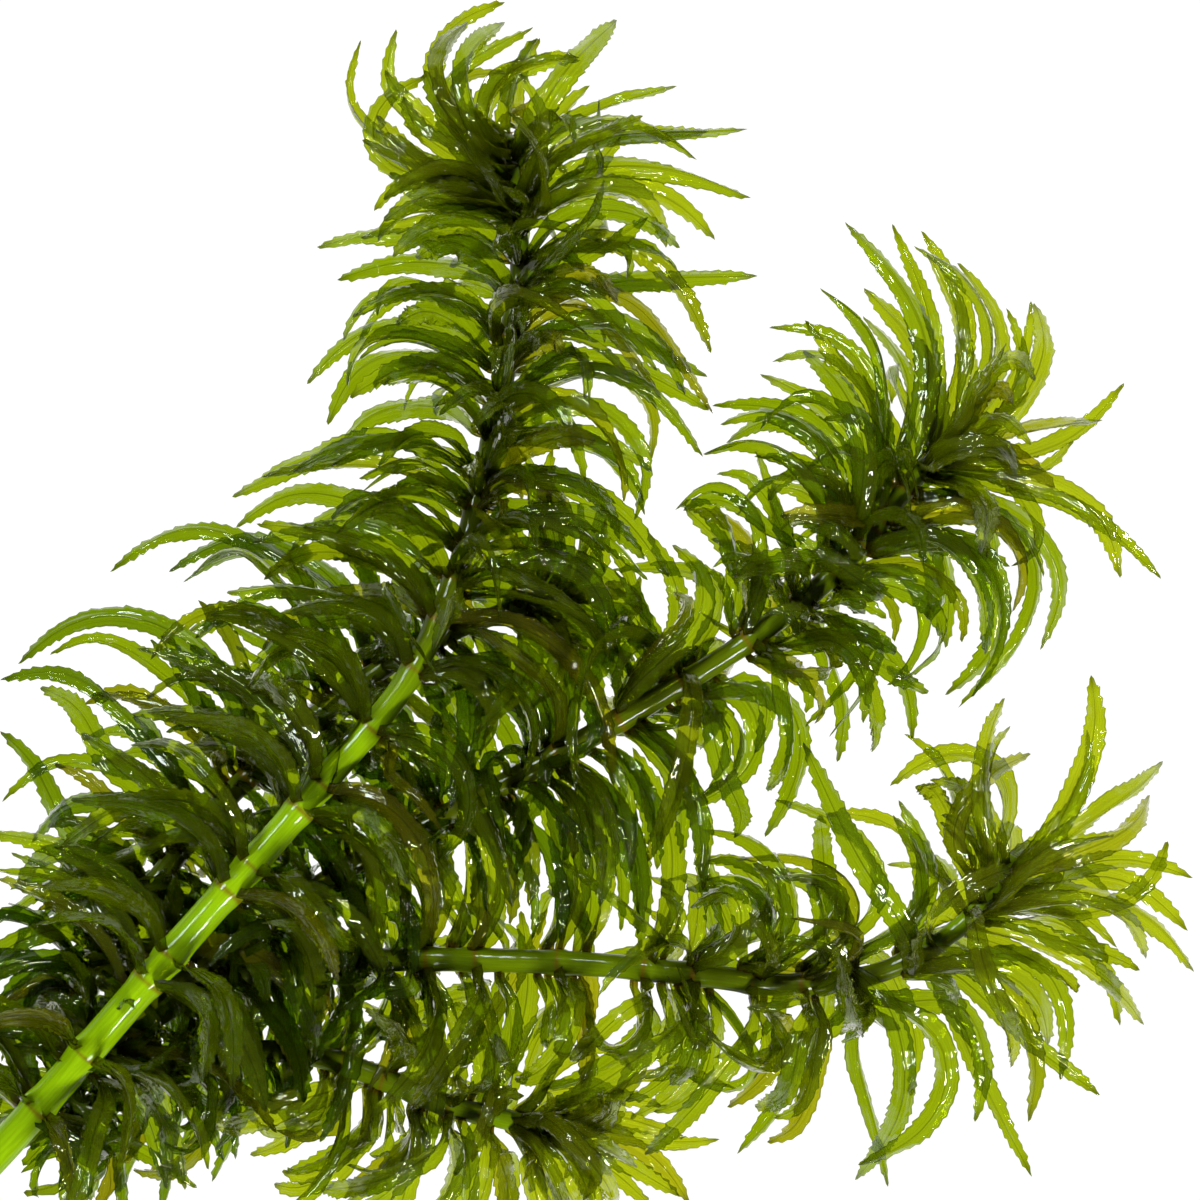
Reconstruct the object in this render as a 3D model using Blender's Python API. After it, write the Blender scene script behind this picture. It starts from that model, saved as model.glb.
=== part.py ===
"""A branched waterweed plant, Egeria najas, lying on a flat surface.

Metres, +Z up. The origin is on the surface, under the middle of the plant's box.
Five shoots (stems a to e) carry whorls of narrow arching leaves. Shoots b to e
fork from the lower part of stem a, which ends in the plant's cut foot.
Places are given as seen from straight above: a pixel of the reference picture and
a height over the surface in millimetres.
"""
import math
import random

import bpy
import numpy as np
from mathutils.bvhtree import BVHTree

MM = 0.001

# Reference picture: pixel size on the surface, height of the eye over it, middle of the frame
PIXEL = 0.095 * MM
EYE = 0.35
CENTRE = 600
# The plant's origin, the middle of its box, as seen from the middle of the frame
ORIGIN = np.array((-5.640, -2.078, 0.0)) * MM

# Leaves: size, and width at fractions of the length
LEAF_LENGTH = 21.5 * MM
LEAF_WIDTH = 2.4 * MM
LEAF_RIDGE = 0.42 * MM
LEAF_STEPS = 13
WIDTH_ALONG = ((0.0, 0.12, 0.35, 0.6, 0.8, 1.0), (0.85, 0.95, 1.0, 0.92, 0.68, 0.0))
RIDGE_TAPER = 2.2
# Where a leaf has its sections, for leaves that arch by less than so many degrees
STATIONS = ((75, (0.16, 0.62)), (135, (0.14, 0.44, 0.75)), (720, (0.12, 0.34, 0.56, 0.79)))
# The blade turns face up over this share of its length, and lies flat below this height
TWIST_SHARE = 0.35
ROLL_HEIGHT = 4 * MM
# How a marked leaf leaves its ring: out and up the shoot by these shares, for this far
LEAVE_OUT = 0.75
LEAVE_ALONG = 0.65
LEAVE_LENGTH = 1.5 * MM
# Leaves keep this far apart, twice over; a leaf that can't within its tries is left out
CLEARANCE = 0.15 * MM
FREE_FROM = 0.02
MARKED_TRIES = 120
FILLER_TRIES = 60
# How far a marked leaf may stray to get clear, in height and in pixels
STRAY_BOW = 9 * MM
STRAY_END = 10 * MM
STRAY_PIXELS = 9
# Pixels that a seat which faces a marked leaf's way may be further off
FACING_WORTH = 25
# Leaves that aren't marked: lean from the stem at the base, and more lean at the tip, in degrees
FILLER_STEPS = 20
BASE_LEAN = 58
TIP_LESS_LEAN = 40
ARCH = (55, 85)
TIP_SHORTER = 0.6

# Rings that carry the whorls; a side of the ring faces straight down
SIDES = 5
SIDE_TURN = 2 * math.pi / SIDES
FIRST_CORNER = math.radians(-54)
STEM_GAP = 0.3 * MM
RING_WALL = 0.45 * MM
RING_HEIGHT = 0.9 * MM
DOUBLE_STEP = 2.6 * MM
BUD_WALL = 0.35 * MM
# Stems
ROUTE_STEP = 0.5 * MM
ROUTE_ROWS = 400
STEM_STRAY = 0.08 * MM
FORK_GAP = 0.35 * MM
FORK_RADIUS = 0.55 * MM
NECK_RADIUS = 0.66 * MM
NECK_LENGTH = 1.0 * MM
UP = np.array((0.0, 0.0, 1.0))

# Routes of the stems: pixel x, pixel y, height in mm, radius in mm
STEMS = {
    "a": ((-75, 1232, 20, 1.5), (38, 1108, 23, 1.5), (162, 965, 24, 1.45), (312, 795, 22, 1.3),
          (412, 672, 20, 1.1), (455, 580, 18, 1.05), (483, 475, 16.5, 1.0), (500, 405, 15.5, 0.95),
          (508, 340, 14.5, 0.9), (520, 262, 13.5, 0.8), (516, 200, 13, 0.6), (510, 138, 13, 0.35)),
    "b": ((175, 985, 17, 0.85), (250, 935, 13.5, 0.95), (340, 872, 13, 1.0), (460, 808, 13.5, 1.05),
          (575, 745, 14.5, 1.05), (661, 696, 15, 1.05), (751, 639, 15, 1.0), (834, 573, 14.5, 1.0),
          (882, 519, 14, 0.9), (928, 465, 13.5, 0.8), (972, 436, 13.5, 0.4)),
    "c": ((95, 1065, 17, 0.85), (180, 1003, 11.5, 1.0), (260, 970, 10.5, 1.1), (380, 960, 10.5, 1.1),
          (480, 960, 11, 1.1), (600, 965, 11.5, 1.1), (700, 975, 12, 1.1), (800, 985, 12, 1.05),
          (878, 973, 12.5, 0.95), (945, 938, 13, 0.85), (990, 896, 13.5, 0.65), (1014, 856, 14, 0.35)),
    "d": ((45, 1128, 15, 0.85), (130, 1085, 10, 1.0), (220, 1055, 9, 1.05), (306, 1054, 9, 1.05),
          (376, 1076, 9.5, 1.05), (446, 1105, 10, 1.0), (510, 1120, 10, 0.85), (582, 1134, 10.5, 0.4)),
    "e": ((66, 1030, 17, 0.85), (100, 965, 12, 1.0), (150, 890, 10, 1.05), (220, 805, 10, 1.05),
          (300, 730, 10, 1.05), (380, 670, 10.5, 1.0), (460, 628, 11, 0.95), (530, 605, 11.5, 0.75),
          (590, 590, 12, 0.4)),
}
# Where each side shoot leaves stem a
FORKS = {"b": (120, 1013), "c": (45, 1100), "d": (0, 1150), "e": (80, 1060)}
# Where the crowded growing tip begins, and how many levels of leaves it has
TIPS = {"a": (519, 240, 10), "b": (915, 481, 8), "c": (962, 924, 9), "d": (508, 1119, 8),
        "e": (500, 615, 8)}
# Whorls along each stem, in pixels, from the foot to the tip
WHORLS = {
    "a": ((38, 1108), (88, 1052), (160, 968), (239, 878), (311, 796), (365, 727), (412, 672),
          (440, 622), (455, 580), (465, 545), (475, 510), (483, 475), (492, 440), (500, 405),
          (505, 370), (509, 335), (515, 297), (519, 265)),
    "b": ((560, 753), (622, 718), (684, 684), (748, 640), (796, 602), (834, 573), (858, 545),
          (882, 519), (905, 492)),
    "c": ((425, 959), (475, 960), (557, 963), (645, 970), (690, 975), (750, 980), (800, 985),
          (850, 979), (906, 959)),
    "d": ((341, 1064), (385, 1080), (418, 1093), (450, 1106), (482, 1114)),
    "e": ((100, 965), (150, 890), (200, 829), (250, 775), (300, 730), (355, 688), (430, 642)),
}
# Whorls that are double nodes, two rings of leaves close together
DOUBLES = {("a", 2), ("a", 3), ("a", 4)}
# Least number of leaves in a ring of each shoot, and in a pair of levels of a tip
RING_LEAVES = {"a": 5, "b": 4, "c": 4, "d": 4, "e": 4}
TIP_LEAVES = 5

# Leaves seen from above: twist of the blade in degrees, then pixels from its whorl to its tip
MARKED = {
    "a": (
        (10, (500, 205), (440, 168), (370, 142), (343, 112), (340, 80), (361, 40)),
        (20, (503, 180), (445, 142), (398, 125), (382, 90), (396, 29)),
        (20, (505, 195), (430, 182), (372, 162), (365, 118), (395, 84), (428, 76)),
        (0, (508, 165), (440, 112), (426, 65), (450, 22), (505, 2)),
        (40, (505, 150), (450, 105), (438, 75), (448, 38), (468, 22)),
        (20, (510, 150), (470, 110), (455, 85), (472, 50), (505, 22)),
        (0, (512, 165), (475, 130), (487, 92), (520, 65), (580, 60)),
        (40, (512, 145), (510, 100), (520, 65), (540, 38)),
        (0, (515, 160), (532, 128), (560, 75), (598, 38), (617, 20)),
        (0, (516, 190), (545, 140), (610, 105), (677, 86)),
        (0, (518, 200), (545, 150), (610, 114), (655, 125), (697, 160)),
        (0, (520, 195), (552, 150), (640, 136), (748, 129)),
        (0, (520, 215), (562, 175), (640, 165), (700, 175), (751, 198)),
        (20, (520, 225), (560, 195), (640, 190), (690, 205), (715, 240)),
        (30, (519, 250), (562, 214), (630, 210), (680, 248)),
        (40, (520, 235), (562, 203), (610, 180), (642, 195), (666, 248)),
        (10, (519, 265), (557, 243), (605, 238), (655, 258), (690, 300), (711, 353)),
        (0, (515, 297), (562, 290), (640, 280), (758, 276)),
        (10, (509, 335), (550, 298), (600, 278), (645, 315), (713, 414)),
        (20, (505, 370), (550, 330), (610, 318), (660, 345), (685, 395)),
        (0, (500, 405), (542, 385), (590, 365), (645, 388), (690, 430), (703, 457)),
        (50, (500, 405), (560, 380), (625, 378), (660, 412), (650, 460)),
        (20, (492, 440), (540, 415), (590, 398), (632, 432), (650, 472), (634, 520)),
        (30, (492, 440), (530, 437), (565, 432), (605, 452), (645, 515)),
        (0, (475, 510), (520, 480), (560, 478), (600, 500), (620, 540)),
        (0, (465, 545), (505, 525), (545, 510), (585, 512), (620, 530), (645, 560)),
        (0, (455, 580), (512, 566), (566, 553), (598, 591), (620, 623), (606, 674), (566, 709)),
        (0, (440, 622), (480, 614), (520, 622), (562, 649), (592, 681), (610, 735), (614, 787)),
        (0, (412, 672), (464, 655), (505, 674), (528, 706), (534, 744), (521, 783)),
        (20, (412, 672), (470, 655), (515, 665), (545, 693), (557, 735), (546, 775), (502, 827)),
        (0, (440, 622), (490, 640), (535, 670), (570, 720), (577, 773)),
        (0, (519, 265), (450, 240), (380, 232), (317, 247)),
        (20, (515, 297), (450, 265), (390, 262), (337, 280)),
        (20, (509, 335), (440, 290), (390, 285), (357, 345)),
        (0, (505, 370), (420, 322), (370, 328), (330, 350), (307, 384)),
        (20, (500, 405), (430, 352), (380, 355), (342, 378), (328, 425)),
        (30, (492, 440), (425, 407), (380, 405), (342, 438), (330, 470)),
        (0, (483, 475), (410, 440), (350, 445), (300, 462), (232, 497)),
        (0, (465, 545), (400, 525), (351, 498), (287, 491), (236, 527)),
        (0, (412, 672), (370, 620), (320, 620), (270, 650), (240, 690)),
        (0, (365, 727), (312, 727), (280, 690), (230, 670)),
        (0, (440, 622), (385, 600), (330, 598), (285, 615), (262, 650)),
        (0, (239, 878), (150, 860), (80, 862), (30, 900), (-5, 925)),
        (0, (160, 968), (122, 958), (70, 970), (25, 1000), (-20, 1030)),
        (0, (88, 1052), (40, 1022), (0, 1028), (-40, 1060)),
        (0, (172, 955), (208, 985), (250, 1035), (262, 1085), (215, 1150)),
        (0, (150, 980), (188, 1003), (225, 1040), (235, 1090), (180, 1150)),
        (0, (172, 955), (215, 945), (262, 950), (300, 990), (318, 1030)),
        (0, (88, 1052), (124, 1068), (160, 1100), (178, 1150), (185, 1190)),
        (0, (38, 1108), (80, 1130), (130, 1145), (197, 1188)),
        (0, (38, 1108), (65, 1150), (78, 1185), (90, 1225)),
        (0, (250, 865), (292, 880), (325, 915), (355, 950)),
        (0, (235, 885), (268, 905), (302, 930), (316, 975), (308, 1035), (275, 1090)),
        (0, (320, 785), (375, 790), (410, 820), (430, 870), (432, 940)),
        (0, (305, 803), (350, 832), (372, 880), (376, 935), (352, 990), (322, 1030)),
        (0, (365, 727), (405, 727), (447, 740), (472, 780), (465, 830), (437, 862)),
        (0, (412, 672), (455, 700), (485, 740), (498, 790), (490, 830)),
        (0, (239, 878), (232, 815), (205, 770), (165, 742), (130, 745)),
        (0, (320, 785), (312, 735), (285, 695), (240, 680)),
    ),
    "b": (
        (0, (905, 492), (932, 400), (930, 340), (895, 275), (845, 222)),
        (10, (928, 465), (942, 395), (932, 320), (912, 265), (892, 224)),
        (10, (936, 457), (952, 390), (968, 325), (950, 265), (921, 231)),
        (50, (945, 450), (985, 385), (998, 335), (965, 275), (914, 246)),
        (20, (950, 447), (990, 390), (1003, 335), (985, 290), (957, 263)),
        (40, (928, 465), (950, 385), (962, 335), (935, 282), (892, 265)),
        (0, (936, 457), (933, 385), (905, 330), (864, 288)),
        (10, (890, 510), (888, 430), (884, 360), (860, 310), (820, 288)),
        (20, (882, 519), (884, 420), (865, 365), (825, 330), (769, 328)),
        (40, (882, 519), (872, 410), (850, 362), (810, 345), (772, 362)),
        (0, (870, 530), (868, 450), (848, 395), (803, 350)),
        (0, (858, 545), (862, 455), (820, 402), (760, 374)),
        (10, (858, 545), (852, 470), (820, 420), (770, 402), (712, 406)),
        (20, (858, 545), (848, 490), (820, 440), (775, 415), (726, 443)),
        (50, (834, 573), (835, 510), (800, 455), (750, 437), (703, 454)),
        (0, (834, 573), (845, 505), (815, 465), (754, 457)),
        (0, (834, 573), (850, 530), (815, 518), (780, 519)),
        (0, (796, 602), (785, 555), (768, 495), (756, 450)),
        (40, (748, 640), (770, 560), (752, 497), (715, 470), (675, 510)),
        (10, (748, 640), (762, 565), (738, 520), (690, 508)),
        (0, (748, 640), (755, 590), (720, 540), (683, 506)),
        (0, (834, 573), (815, 558), (775, 560), (732, 579)),
        (60, (945, 450), (1005, 408), (1025, 360), (1006, 308)),
        (0, (940, 455), (985, 412), (1022, 362), (1031, 301)),
        (0, (945, 450), (1008, 418), (1046, 365), (1034, 303)),
        (0, (950, 447), (1000, 455), (1060, 452), (1124, 383)),
        (0, (955, 445), (1000, 432), (1050, 424), (1103, 420)),
        (0, (936, 457), (980, 447), (1010, 452), (1016, 472), (1006, 495)),
        (0, (928, 465), (1000, 495), (1070, 507), (1118, 528), (1161, 579)),
        (10, (936, 457), (1025, 480), (1085, 495), (1112, 530), (1120, 578)),
        (20, (905, 492), (990, 500), (1045, 540), (1066, 590), (1040, 650)),
        (10, (905, 492), (985, 510), (1045, 555), (1030, 630), (958, 708)),
        (50, (882, 519), (960, 508), (1012, 535), (1025, 572), (1012, 612)),
        (0, (882, 519), (925, 530), (950, 575), (945, 648)),
        (10, (882, 519), (950, 530), (1000, 585), (998, 655), (945, 695)),
        (0, (858, 545), (930, 530), (975, 570), (985, 655)),
        (50, (834, 573), (880, 570), (918, 598), (922, 650), (887, 685)),
        (30, (796, 602), (850, 625), (900, 672), (918, 710), (912, 740)),
        (0, (858, 545), (890, 560), (912, 580), (922, 605)),
        (0, (796, 602), (850, 650), (876, 710), (872, 752)),
        (0, (796, 602), (825, 660), (848, 715), (837, 762)),
        (60, (834, 573), (890, 615), (860, 675), (804, 727)),
        (30, (748, 640), (785, 680), (795, 740), (767, 790)),
        (0, (748, 640), (790, 690), (803, 755), (790, 800), (765, 837)),
        (0, (684, 684), (715, 770), (745, 810), (735, 838)),
        (30, (748, 640), (768, 722), (728, 793), (677, 810)),
        (20, (684, 684), (692, 745), (672, 810), (647, 862)),
        (0, (684, 684), (718, 705), (722, 730), (700, 750)),
        (0, (684, 684), (690, 620), (672, 570), (645, 530)),
        (0, (684, 684), (712, 605), (700, 562), (672, 545)),
        (20, (622, 718), (648, 640), (637, 600), (612, 570)),
    ),
    "c": (
        (0, (1005, 872), (1050, 832), (1088, 765), (1098, 705), (1091, 675)),
        (30, (990, 896), (1045, 835), (1085, 780), (1088, 730)),
        (0, (1005, 872), (1070, 832), (1125, 800), (1163, 761)),
        (0, (1000, 880), (1060, 858), (1120, 840), (1150, 795)),
        (10, (1010, 862), (1040, 850), (1072, 840), (1115, 832)),
        (10, (1000, 880), (1080, 865), (1140, 858), (1193, 878)),
        (0, (990, 896), (1060, 880), (1135, 882), (1188, 931)),
        (0, (990, 896), (1060, 890), (1140, 908), (1194, 972)),
        (30, (980, 905), (1060, 898), (1115, 908), (1146, 959)),
        (0, (980, 905), (1030, 870), (1070, 862), (1111, 895)),
        (0, (962, 924), (1040, 905), (1085, 930), (1112, 965)),
        (0, (945, 938), (1020, 940), (1085, 962), (1144, 1025)),
        (10, (962, 924), (1045, 915), (1100, 950), (1120, 1026)),
        (20, (945, 938), (1015, 943), (1068, 995), (1060, 1080)),
        (0, (906, 959), (965, 985), (1030, 1045), (1100, 1095)),
        (20, (945, 938), (995, 962), (1035, 992), (1048, 1045)),
        (10, (906, 959), (995, 980), (1038, 1050), (1028, 1122)),
        (0, (945, 938), (985, 985), (1008, 1020), (1011, 1067)),
        (0, (906, 959), (940, 1015), (990, 1085), (1032, 1177)),
        (20, (906, 959), (960, 995), (988, 1055), (975, 1122)),
        (20, (906, 959), (938, 1025), (952, 1085), (915, 1143), (858, 1165)),
        (0, (850, 979), (850, 1030), (872, 1110), (888, 1187)),
        (20, (850, 979), (897, 1025), (905, 1080), (855, 1180)),
        (30, (850, 979), (905, 1005), (922, 1045), (908, 1095)),
        (0, (800, 985), (800, 1045), (780, 1110), (737, 1154)),
        (30, (750, 980), (782, 1020), (775, 1070), (727, 1107)),
        (10, (800, 985), (795, 1040), (795, 1085), (755, 1107)),
        (20, (800, 985), (822, 1025), (812, 1080)),
        (0, (750, 980), (748, 1030), (710, 1090), (645, 1155)),
        (0, (690, 975), (700, 1035), (688, 1088), (630, 1118)),
        (0, (645, 970), (650, 1020), (605, 1070), (540, 1090)),
        (0, (690, 975), (668, 1030), (610, 1080), (548, 1105)),
        (0, (475, 960), (440, 1000), (395, 1025), (345, 1045)),
        (0, (475, 960), (470, 1020), (440, 1070), (410, 1110)),
        (10, (475, 960), (497, 1010), (490, 1080)),
        (20, (557, 963), (545, 1010), (515, 1055), (503, 1100)),
        (20, (557, 963), (578, 1020), (550, 1065), (515, 1080)),
        (0, (557, 963), (588, 1000), (582, 1060)),
        (0, (645, 970), (620, 1010), (590, 1045), (570, 1060)),
        (0, (850, 979), (890, 900), (848, 825), (775, 799)),
        (30, (906, 959), (930, 880), (895, 818), (825, 815)),
        (0, (850, 979), (875, 900), (815, 855), (735, 860)),
        (10, (850, 979), (835, 910), (800, 870), (757, 870)),
        (10, (800, 985), (798, 895), (755, 840), (700, 829)),
        (50, (750, 980), (765, 905), (745, 860), (706, 858)),
        (10, (750, 980), (770, 915), (735, 885), (685, 890)),
        (10, (690, 975), (752, 920), (740, 893), (690, 907)),
        (10, (690, 975), (712, 920), (697, 858)),
        (10, (800, 985), (848, 920), (840, 870), (821, 825)),
        (30, (945, 938), (958, 850), (950, 775), (904, 734)),
        (40, (990, 896), (1018, 790), (965, 742), (890, 786)),
        (0, (945, 938), (945, 850), (970, 790), (1031, 754)),
        (20, (980, 905), (985, 830), (980, 770), (1005, 698)),
        (40, (990, 896), (1035, 800), (1028, 738), (982, 696)),
        (20, (1000, 880), (1055, 790), (1025, 722), (960, 738)),
    ),
    "d": (
        (0, (540, 1126), (600, 1130), (660, 1143), (720, 1139)),
        (10, (530, 1124), (600, 1128), (650, 1150), (690, 1205)),
        (0, (530, 1124), (590, 1145), (640, 1172), (680, 1196)),
        (0, (540, 1126), (580, 1133), (637, 1168)),
        (0, (520, 1122), (575, 1145), (625, 1180), (655, 1210)),
        (0, (520, 1122), (560, 1135), (598, 1175), (612, 1215)),
        (0, (508, 1119), (552, 1135), (583, 1175), (588, 1225)),
        (0, (508, 1119), (540, 1150), (560, 1190), (562, 1235)),
        (0, (508, 1119), (520, 1160), (535, 1200), (530, 1240)),
        (0, (482, 1114), (505, 1160), (510, 1200), (495, 1240)),
        (0, (482, 1114), (492, 1160), (480, 1205), (455, 1235)),
        (10, (450, 1106), (470, 1160), (455, 1200), (425, 1225)),
        (0, (530, 1124), (560, 1105), (600, 1108)),
        (0, (540, 1126), (580, 1112), (640, 1120), (685, 1137)),
        (0, (508, 1119), (545, 1100), (600, 1090), (625, 1092)),
        (0, (450, 1106), (440, 1150), (390, 1178), (320, 1190)),
        (0, (418, 1093), (425, 1140), (385, 1170), (345, 1205)),
        (10, (385, 1080), (370, 1130), (330, 1160), (285, 1172)),
        (0, (341, 1064), (325, 1110), (295, 1140), (250, 1155)),
        (0, (341, 1064), (300, 1095), (255, 1120), (215, 1128)),
        (0, (418, 1093), (425, 1045), (405, 1000), (380, 980)),
        (0, (450, 1106), (490, 1070), (480, 1030), (450, 1005)),
        (0, (385, 1080), (400, 1040), (370, 1020), (330, 1035)),
    ),
    "e": (
        (0, (355, 688), (312, 597), (277, 552), (239, 533), (204, 522), (159, 525), (110, 572)),
        (60, (355, 688), (297, 603), (236, 533), (191, 577)),
        (50, (300, 730), (285, 640), (255, 603), (223, 606), (190, 632)),
        (60, (250, 775), (240, 680), (225, 625), (198, 600)),
        (0, (250, 775), (217, 664), (160, 620), (96, 609), (48, 629), (18, 664)),
        (10, (250, 775), (180, 690), (110, 637), (65, 628), (50, 655)),
        (0, (200, 829), (150, 745), (100, 690), (48, 664), (0, 680)),
        (0, (200, 829), (155, 800), (105, 765), (80, 705), (40, 688)),
        (20, (150, 890), (62, 835), (50, 785), (29, 753), (0, 731)),
        (20, (200, 829), (115, 770), (70, 756), (32, 769), (2, 802)),
        (0, (200, 829), (120, 797), (75, 797), (32, 842)),
        (0, (300, 730), (240, 700), (170, 660), (150, 640)),
        (0, (150, 890), (105, 850), (60, 850), (20, 890)),
        (0, (100, 965), (70, 925), (20, 940), (-20, 975)),
        (0, (355, 688), (380, 600), (360, 550), (320, 520)),
        (0, (430, 642), (420, 560), (390, 520), (345, 530)),
        (10, (500, 615), (540, 600), (575, 580), (585, 545)),
        (10, (530, 605), (560, 590), (600, 560), (605, 520)),
        (10, (430, 642), (480, 700), (520, 740), (520, 800)),
        (10, (355, 688), (420, 760), (450, 830), (440, 890)),
    ),
}

LEAF_GREEN = (0.16, 0.30, 0.02)
TIP_GREEN = (0.24, 0.36, 0.03)
STEM_GREEN = (0.22, 0.34, 0.03)


def place(px, py, height):
    """Point that shows at a pixel of the picture when it is at this height (m) over the surface."""
    reach = PIXEL * (EYE - height) / EYE
    return np.array(((px - CENTRE) * reach, (CENTRE - py) * reach, height))


def pixel(point):
    """Pixel of the picture at which a point shows."""
    reach = PIXEL * (EYE - point[2]) / EYE
    return np.array((point[0] / reach + CENTRE, CENTRE - point[1] / reach))


def unit(vector):
    return vector / max(np.linalg.norm(vector), 1e-12)


def unit_rows(rows):
    return rows / np.maximum(np.linalg.norm(rows, axis=1, keepdims=True), 1e-12)


def smooth_route(knots, count):
    """Smooth curve through the knots, as evenly spaced rows."""
    knots = np.asarray(knots, float)
    chords = np.linalg.norm(np.diff(knots[:, :3], axis=0), axis=1)
    at = np.concatenate(([0.0], np.cumsum(chords)))
    slopes = np.gradient(knots, at, axis=0)
    fine = np.linspace(0.0, at[-1], 6 * count)
    span = np.clip(np.searchsorted(at, fine, side="right") - 1, 0, len(at) - 2)
    width = (at[span + 1] - at[span])[:, None]
    t = (fine - at[span])[:, None] / width
    rows = ((2 * t**3 - 3 * t**2 + 1) * knots[span] + (t**3 - 2 * t**2 + t) * width * slopes[span]
            + (3 * t**2 - 2 * t**3) * knots[span + 1] + (t**3 - t**2) * width * slopes[span + 1])
    return even_rows(rows, count)


def even_rows(rows, count):
    """The same polyline with evenly spaced rows."""
    steps = np.linalg.norm(np.diff(rows[:, :3], axis=0), axis=1)
    along = np.concatenate(([0.0], np.cumsum(steps)))
    wanted = np.linspace(0.0, along[-1], count)
    return np.stack([np.interp(wanted, along, column) for column in rows.T], axis=1)


def cross_frame(direction):
    """Two directions across a stem: one level, one as near to upright as it can be."""
    level = unit(np.cross(UP, direction))
    return level, np.cross(direction, level)


def section(centre, direction, radius):
    """Corners of a stem's five-sided section."""
    level, upright = cross_frame(direction)
    turns = [FIRST_CORNER + SIDE_TURN * k for k in range(SIDES)]
    return np.array([centre + radius * (math.cos(a) * level + math.sin(a) * upright) for a in turns])


def stem_route(name):
    """Rows of x, y, z, radius, from the foot of a stem to the end of its shoot."""
    knots = [[*place(px, py, h * MM), r * MM] for px, py, h, r in STEMS[name]]
    if name in FORKS:
        parent = stem_route("a")
        near = nearest_row(parent, FORKS[name])
        heading = unit(parent[near + 1, :3] - parent[near, :3])
        away = np.array(knots[0][:3]) - parent[near, :3]
        outward = unit(away - heading * np.dot(away, heading))
        foot = parent[near, :3] + outward * (parent[near, 3] + FORK_GAP)
        neck = foot + outward * NECK_LENGTH
        knots = [[*foot, FORK_RADIUS], [*neck, NECK_RADIUS]] + knots
    rows = smooth_route(knots, ROUTE_ROWS)
    length = np.sum(np.linalg.norm(np.diff(rows[:, :3], axis=0), axis=1))
    return even_rows(rows, int(length / ROUTE_STEP) + 1)


def nearest_row(route, spot):
    """Row of a route that shows nearest to a pixel."""
    seen = np.array([pixel(row[:3]) for row in route])
    return int(np.argmin(np.linalg.norm(seen - np.array(spot), axis=1)))


def heading_at(route, row):
    low = max(row - 2, 0)
    high = min(row + 2, len(route) - 1)
    return unit(route[high, :3] - route[low, :3])


class Carrier:
    """What carries leaves: a ring round a stem, or the end of a shoot."""

    def __init__(self, name, shoot, rings, bore, bands, spot):
        self.name = name
        self.shoot = shoot
        self.rings = rings
        self.bore = bore
        self.spot = spot
        self.sockets = [Socket(self, band, side) for band, side in bands]

    def solid(self):
        """Outer skin as plain triangles, for keeping leaves clear of it."""
        points = np.concatenate(self.rings)
        faces = []
        for band in range(len(self.rings) - 1):
            for side in range(SIDES):
                low = band * SIDES + side
                low_next = band * SIDES + (side + 1) % SIDES
                faces.append((low, low_next, low_next + SIDES))
                faces.append((low, low_next + SIDES, low + SIDES))
        return points, faces


class Socket:
    """One side of a carrier that a leaf can grow from."""

    def __init__(self, carrier, band, side):
        low, high = carrier.rings[band], carrier.rings[band + 1]
        after = (side + 1) % SIDES
        self.carrier = carrier
        self.band = band
        self.side = side
        self.corners = np.array((low[after], high[after], high[side], low[side]))
        self.centre = self.corners.mean(axis=0)
        self.across = unit(self.corners[0] + self.corners[1] - self.corners[2] - self.corners[3])
        along = self.corners[1] + self.corners[2] - self.corners[0] - self.corners[3]
        self.normal = unit(np.cross(self.across, along))
        self.along = np.cross(self.normal, self.across)
        self.spot = pixel(self.centre)
        self.leaf = None


def ring_carrier(shoot, number, route, spot):
    """A ring round the stem for one whorl, or for the two whorls of a double node."""
    row = nearest_row(route, spot)
    centre = route[row, :3]
    heading = heading_at(route, row)
    inner = route[row, 3] + STEM_GAP / math.cos(SIDE_TURN / 2)
    outer = inner + RING_WALL
    levels = [-RING_HEIGHT / 2, RING_HEIGHT / 2]
    bands = [0]
    if (shoot, number) in DOUBLES:
        levels = [-DOUBLE_STEP / 2 - RING_HEIGHT / 2, -DOUBLE_STEP / 2 + RING_HEIGHT / 2,
                  DOUBLE_STEP / 2 - RING_HEIGHT / 2, DOUBLE_STEP / 2 + RING_HEIGHT / 2]
        bands = [0, 2]
    rings = [section(centre + heading * level, heading, outer) for level in levels]
    bore = [section(centre + heading * level, heading, inner) for level in (levels[0], levels[-1])]
    sockets = [(band, side) for band in bands for side in range(SIDES)]
    return Carrier(f"whorl_{shoot}_{number + 1:02d}", shoot, rings, bore, sockets, spot)


def tip_carrier(shoot, route):
    """The crowded end of a shoot: a tapering bud whose sides carry leaves in turn."""
    px, py, levels = TIPS[shoot]
    start = nearest_row(route, (px, py))
    part = even_rows(route[start:-2], levels + 1)
    rings = [section(row[:3], heading_at(part, number), row[3] + BUD_WALL)
             for number, row in enumerate(part)]
    sockets = [(band, side) for band in range(levels) for side in range(SIDES) if (band + side) % 2 == 0]
    carrier = Carrier(f"tip_{shoot}", shoot, rings, None, sockets, (px, py))
    carrier.apex = route[-1, :3]
    return carrier


def stations_for(points):
    """Where a leaf has its sections: the more it arches, the more of them."""
    steps = unit_rows(np.diff(points[1:], axis=0))
    turns = np.arccos(np.clip(np.sum(steps[:-1] * steps[1:], axis=1), -1.0, 1.0))
    arch = math.degrees(turns.sum())
    return next(stations for limit, stations in STATIONS if arch < limit)


def width_at(fraction):
    return LEAF_WIDTH * np.interp(fraction, *WIDTH_ALONG)


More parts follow.
